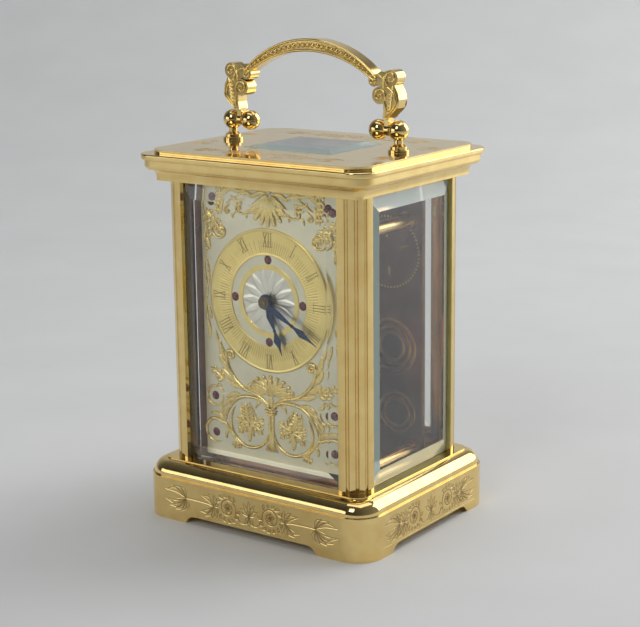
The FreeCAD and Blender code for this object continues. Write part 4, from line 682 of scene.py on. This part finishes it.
piece("chapter_ring_turned", chapter_ring(), plane("front", DIAL_FACE), "root",
      ring_gilt)
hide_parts("chapter_ring")
numeral_look = metal("numeral_engraving", (0.42, 0.29, 0.10, 1), (0.32, 0.21, 0.07, 1),
                     (0.3, 0.42), patch=2.0)
piece("chapter_numerals", numerals(), plane("front", RING_FACE), "root",
      numeral_look)
piece("petal_rosette", rosette(), plane("front", DIAL_FACE), "root", silver_bright)
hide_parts("centre_rosette")


# ------------------------------------------------------------------ engraving on the case
FINEST_CUT = 0.16  # half the width of the narrowest cut
PANEL_DEPTH = 0.14
PANEL_STEP = 0.14  # between the points of a panel's mesh
PANEL_MARGIN = 0.5  # where the cuts fade out towards the border
PANEL_INSET = 10.5  # from the base's corner to the panel's end
PANEL_HEIGHTS = (3.4, 14.3)
FRIEZE_LEVEL = 8.9
TOP_CUT = 0.09


def cut_field(strokes, us, vs):
    """Over a grid: how deeply V-shaped cuts along the strokes go, from 0 to 1."""
    cut = np.zeros((len(vs), len(us)))
    for points, width, height, ends, _ in strokes:
        widths = stroke_widths(points, width, ends) / 2
        for a, b, half in zip(points, points[1:], (widths[1:] + widths[:-1]) / 2):
            half = max(half, FINEST_CUT)
            low, high = np.minimum(a, b) - half, np.maximum(a, b) + half
            columns = slice(*np.searchsorted(us, (low[0], high[0])))
            rows = slice(*np.searchsorted(vs, (low[1], high[1])))
            u, v = np.meshgrid(us[columns], vs[rows])
            along = b - a
            share = np.clip(((u - a[0]) * along[0] + (v - a[1]) * along[1])
                            / max(along @ along, 1e-9), 0, 1)
            away = np.hypot(u - a[0] - share * along[0], v - a[1] - share * along[1])
            cut[rows, columns] = np.maximum(cut[rows, columns],
                                            height * np.clip(1 - away / half, 0, 1))
    return cut


def engraved_panel(strokes, half):
    """A flush panel with the strokes cut into it. half is half of its width."""
    under, top = PANEL_HEIGHTS
    us = np.linspace(-half, half, int((half + half) / PANEL_STEP) + 1)
    vs = np.linspace(under, top, int((top - under) / PANEL_STEP) + 1)
    u, v = np.meshgrid(us, vs)
    border = np.minimum.reduce([u + half, half - u, v - under, top - v])
    cut = cut_field(strokes, us, vs) * np.clip(border / PANEL_MARGIN, 0, 1)
    count = len(us)
    vertices = np.column_stack([u.ravel(), v.ravel(), -PANEL_DEPTH * cut.ravel()])
    corner = (np.arange(len(vs) - 1)[:, None] * count + np.arange(count - 1)).ravel()
    faces = np.column_stack([corner, corner + 1, corner + count + 1, corner + count])
    return vertices.tolist(), faces.tolist(), 1 - cut.ravel()


def cut_leaf(root, tip, width, bend=0.0):
    """An engraved leaf: its two edges and a vein, as fine cuts."""
    root, tip = np.array(root, float), np.array(tip, float)
    along = tip - root
    side = np.array([-along[1], along[0]])
    middle = (root + tip) / 2 + side * bend
    across = side / np.linalg.norm(side) * width / 2
    edges = [stroke(smooth([root, middle + across * hand, tip], 5), 0.72, 1.0, (0.7, 0.25))
             for hand in (-1, 1)]
    return edges + [stroke(smooth([root, middle, (middle + tip) / 2], 5), 0.5, 0.75, (0.8, 0.2))]


def cut_fan(root, tips, width=1.35, bend=0.14):
    """Engraved leaves from one root, each bent the same way."""
    return [part for tip in tips for part in cut_leaf(root, tip, width, bend)]


def frieze(gap, end):
    """Running foliage, both halves: a palmette, two scrolls, and leaves out to the ends.

    gap moves the scrolls outwards, and end is where the ornament stops."""
    eye = np.array((9.2 + gap, FRIEZE_LEVEL))
    strokes = volute(eye, 3.7, 205, -1.75, 1.0, 1.0, [(0.7, 6.0), (3.0 + gap, 4.8)])
    for angle in np.radians(range(-165, 140, 25)):
        root = eye + 3.8 * np.array((math.cos(angle), math.sin(angle)))
        lean = angle - 0.75
        tip = root + 2.1 * np.array((math.cos(lean), math.sin(lean)))
        strokes += cut_leaf(root, (tip[0], min(max(tip[1], 4.0), 13.7)), 0.9, 0.12)
    for angle in np.radians(range(20, 360, 68)):
        strokes += cut_leaf(eye, eye + 2.1 * np.array((math.cos(angle), math.sin(angle))), 0.9)
    start, last = 14.4 + gap, end - 9.6
    strokes.append(stroke(smooth([(start - 1.4, 7.0), (start + 2, 8.8), ((start + last) / 2, 9.2),
                                  (last, 9.2), (end - 5, 8.4)], 6), 0.7, 1.0))
    strokes += cut_fan((start + 0.8, 8.6), [(start + 0.6, 13.0), (start + 3.4, 12.8),
                                           (start + 6.2, 11.6)])
    strokes += cut_fan((start + 1.2, 8.2), [(start - 0.4, 4.3), (start + 2.2, 4.0),
                                           (start + 4.8, 4.4), (start + 6.8, 5.8)], bend=-0.14)
    strokes += cut_fan((last, 9.2), [(last + 3.0, 13.2), (last + 6.6, 12.8), (end, 11.0)])
    strokes += cut_fan((last + 0.4, 8.8), [(last - 0.2, 4.8), (last + 2.4, 4.1), (last + 5.2, 4.3),
                                           (last + 7.8, 5.4), (end, 7.6)], bend=-0.14)
    return mirrored(strokes) + [
        part for angle, reach in ((-58, 4.4), (-28, 5.2), (0, 5.6), (28, 5.2), (58, 4.4),
                                  (150, 3.6), (180, 3.8), (210, 3.6))
        for part in cut_leaf((0, 7.8), (reach * math.sin(math.radians(angle)),
                                        7.8 + reach * math.cos(math.radians(angle))), 1.3)]


half_width, half_depth = box_mm("base_plinth")[1][:2]
front_panel, side_panel = half_width - PANEL_INSET, half_depth - PANEL_INSET
for side, level, half, gap, end in (
        ("front", -half_depth, front_panel, 0, 37.0), ("back", half_depth, front_panel, 0, 37.0),
        ("left", -half_width, side_panel, 1.6, 29.2), ("right", half_width, side_panel, 1.6, 29.2)):
    panel = engraved_panel(frieze(gap, end), half)
    piece("base_engraving_" + side, panel, plane(side, level), "root", gilt_engraved)


def top_engraving():
    """Low foliage on the top plate, round the glass and beyond the handle's posts."""
    band = [(points - (0, FRIEZE_LEVEL), *rest) for points, *rest in frieze(0, 37.0)]
    band_place, band_scale = 26.6, 0.82
    strokes = (moved(band, (0, -band_place), band_scale)
               + moved(band, (0, band_place), band_scale, 180))
    for hand in (-1, 1):
        for near in (-1, 1):
            turn = 0 if near > 0 else 180
            fan = cut_fan((0, 0), [(-3.0, 8.0), (0.4, 10.5), (3.2, 8.2)], 1.8)
            fan += cut_fan((0, 1), [(-3.6, 4.4), (3.6, 4.6)], 1.6)
            strokes += moved(fan, (hand * 38.4, near * 8.4), 1.0, turn)
            strokes += moved(volute((3.0, 0.2), 2.6, 180, -1.3, 0.6), (hand * 37.6, near * 10), 0.9,
                             90, flip=hand * near < 0)
    return [(points, width, TOP_CUT, ends, kind) for points, width, _, ends, kind in strokes]


piece("top_engraving", ridges(top_engraving()), plane("top", box_mm("top_plate")[1][2]), "root",
      gilt_engraved)


# ------------------------------------------------------------------ inside
def plate_decoration():
    """Turned rings and a dotted ring on the inner face of the back plate, at its right side."""
    strokes = []
    for centre, radii in (((18.5, 58.0), (9.6, 7.4, 5.0)), ((20.5, 34.0), (7.2, 5.0))):
        for radius in radii:
            strokes.append(stroke(arc(centre, radius, 0, 360, 48), 1.1, 0.16, (1, 1)))
    dotted = (17.0, 92.0)
    dots = arc(dotted, 12.6, 0, 354, 59)
    for angle in (20, 95, 190, 275):
        inner, outer = (arc(dotted, radius, angle, angle + 1, 1)[0] for radius in (5.2, 8.6))
        strokes.append(stroke([inner, (inner + outer) / 2, outer], 0.9, 0.14, (0.8, 0.5)))
    return join(ridges(strokes), beads(dots, 0.46, 0.2))


piece("plate_decoration", plate_decoration(), plane("front", box_mm("back_plate")[0][1]), "root",
      ring_plain)


# ------------------------------------------------------------------ handle
BOW_CENTRE, BOW_OUTER, HOLLOW_CENTRE, HOLLOW_RADIUS = 127.8, 38.6, 118.9, 43.1
HANDLE_FACE = 2.5
RIM_INSET = 0.45


def bow_inner(angle):
    """The arch's inner radius about its own centre, at an angle from the upright."""
    drop = BOW_CENTRE - HOLLOW_CENTRE
    across = drop * math.sin(angle)
    return math.sqrt(HOLLOW_RADIUS ** 2 - across ** 2) - drop * math.cos(angle)


def handle_ornament():
    """Rims and beads along the arch, and scrolls and leaves on the brackets: one face."""
    angles = np.radians(np.linspace(-46, 46, 60))
    outer, inner = [], []
    for a in angles:
        for rim, reach in ((outer, BOW_OUTER - RIM_INSET), (inner, bow_inner(a) + RIM_INSET)):
            rim.append((reach * math.sin(a), BOW_CENTRE + reach * math.cos(a)))
    strokes = [stroke(outer, 0.85, 0.5, (1, 1)), stroke(inner, 0.85, 0.5, (1, 1))]
    beading = []
    for a in np.radians(np.linspace(-43.5, 43.5, 29)):
        reach = (BOW_OUTER + bow_inner(a)) / 2
        radius = min(0.92, (BOW_OUTER - bow_inner(a)) / 2 - 0.72)
        beading.append(beads([(reach * math.sin(a), BOW_CENTRE + reach * math.cos(a))],
                             radius, 0.7))
    scrolls = volute((33.2, 154.5), 2.3, 235, -1.35, 0.85, 0.5,
                     [(31.3, 141.6), (34.9, 145.8), (34.6, 149.2), (31.9, 151.6)])
    scrolls += volute((26.5, 153.5), 1.65, 75, 1.3, 0.75, 0.5, [(30.6, 153.8), (28.6, 155.3)])
    scrolls += volute((28.8, 148.7), 2.45, -40, 1.4, 0.85, 0.5, [(31.0, 141.4), (31.3, 144.6)])
    for share in np.linspace(0, 1, 6):
        root = (31.4 + 0.9 * share, 143.6 + 6.6 * share)
        scrolls.append(leaf(root, (root[0] + 2.0, root[1] + 2.2), 0.95, -0.2, 0.45))
    scrolls.append(stroke(smooth([(31.9, 141.5), (35.5, 145.0), (35.9, 147.6), (34.6, 151.2)], 6),
                          0.6, 0.5, (0.8, 0.6)))
    scrolls.append(leaf((30.4, 151.0), (31.2, 155.6), 1.2, 0.1, 0.5))
    return join(ridges(strokes + mirrored(scrolls)), *beading)


for side, level in (("front", -HANDLE_FACE), ("back", HANDLE_FACE)):
    piece("handle_chasing_" + side, handle_ornament(), plane(side, level), "handle",
          gilt_scroll)


# ------------------------------------------------------------------ stage, lights, camera
CLOCK_MIDDLE = Vector((0.0, 0.0, 0.08))


def stage():
    """A pale floor that curves up into the backdrop, all in one sheet."""
    look = Look("backdrop_paper")
    tone = look.spread(look.noise(60, 3), 0, 1)
    colour = look.mix(tone, rgb(232, 233, 233), rgb(236, 237, 237))
    shader = look.add("BsdfPrincipled", {
        "Base Color": colour, "Roughness": 0.85,
        "Normal": look.bump(look.noise(1.5, 5), 0.03)})
    material = look.finish(shader)
    floor_end, curve, top = 0.5, 0.9, 2.4
    profile = [(-2.0, 0.0), (-0.8, 0.0), (0.0, 0.0), (floor_end, 0.0)]
    profile += [(floor_end + curve * math.sin(a), curve - curve * math.cos(a))
                for a in np.radians(np.linspace(5, 90, 18))]
    profile.append((floor_end + curve, top))
    turn = math.radians(35.5)  # so that it faces the camera
    vertices, faces = [], []
    for x in (-3.0, 3.0):
        for y, z in profile:
            vertices.append((x * math.cos(turn) - y * math.sin(turn),
                             x * math.sin(turn) + y * math.cos(turn), z))
    count = len(profile)
    for index in range(count - 1):
        faces.append((index, index + 1, count + index + 1, count + index))
    mesh = bpy.data.meshes.new("backdrop")
    mesh.from_pydata(vertices, [], faces)
    mesh.polygons.foreach_set("use_smooth", [True] * len(faces))
    floor = bpy.data.objects.new("backdrop", mesh)
    bpy.context.scene.collection.objects.link(floor)
    dress(floor, material)


def softbox(name, place, size, power):
    """A rectangular white lamp that faces the middle of the clock."""
    data = bpy.data.lights.new(name, "AREA")
    data.shape, data.size, data.size_y = "RECTANGLE", size[0], size[1]
    data.energy = power
    lamp = bpy.data.objects.new(name, data)
    lamp.location = place
    lamp.rotation_euler = (CLOCK_MIDDLE - Vector(place)).to_track_quat("-Z", "Y").to_euler()
    bpy.context.scene.collection.objects.link(lamp)


def camera():
    """The view from above the clock's right front corner, tipped a little to one side."""
    data = bpy.data.cameras.new("view")
    data.sensor_fit, data.sensor_width, data.lens = "HORIZONTAL", 36.0, 93.5
    data.clip_start, data.clip_end = 0.01, 20.0
    place, aim = Vector((0.3307, -0.4608, 0.2035)), Vector((0.00134, 0.00095, 0.0709))
    view = bpy.data.objects.new("view", data)
    turn = (place - aim).to_track_quat("Z", "Y").to_matrix()
    roll = Matrix.Rotation(math.radians(-0.65), 3, "Z")
    view.matrix_world = Matrix.Translation(place) @ (turn @ roll).to_4x4()
    bpy.context.scene.collection.objects.link(view)
    bpy.context.scene.camera = view


def room():
    """The world's light: a room that is darker in front of the clock than behind it."""
    world = bpy.data.worlds.new("room")
    world.use_nodes = True
    nodes, links = world.node_tree.nodes, world.node_tree.links
    where = nodes.new("ShaderNodeTexCoord")
    facing = nodes.new("ShaderNodeVectorMath")
    facing.operation = "DOT_PRODUCT"
    facing.inputs[1].default_value = (0.25, 0.9, -0.1)
    level = nodes.new("ShaderNodeMapRange")
    for key, value in (("From Min", -0.8), ("From Max", 0.7), ("To Min", 0.05), ("To Max", 0.26)):
        level.inputs[key].default_value = value
    links.new(where.outputs["Generated"], facing.inputs[0])
    links.new(facing.outputs["Value"], level.inputs["Value"])
    links.new(level.outputs[0], nodes["Background"].inputs["Strength"])
    nodes["Background"].inputs["Color"].default_value = (0.86, 0.87, 0.89, 1)
    bpy.context.scene.world = world


stage()
camera()
softbox("window_behind_right", (0.60, 1.05, 0.60), (1.1, 1.1), 9)
softbox("low_front_left", (-0.78, -1.05, 0.30), (1.0, 0.45), 2)
softbox("front_window", (0.15, -1.3, 1.1), (0.5, 0.7), 4)
softbox("overhead", (0.0, 0.2, 1.5), (1.4, 1.4), 7.4)
room()
bpy.context.scene.view_settings.view_transform = "Standard"
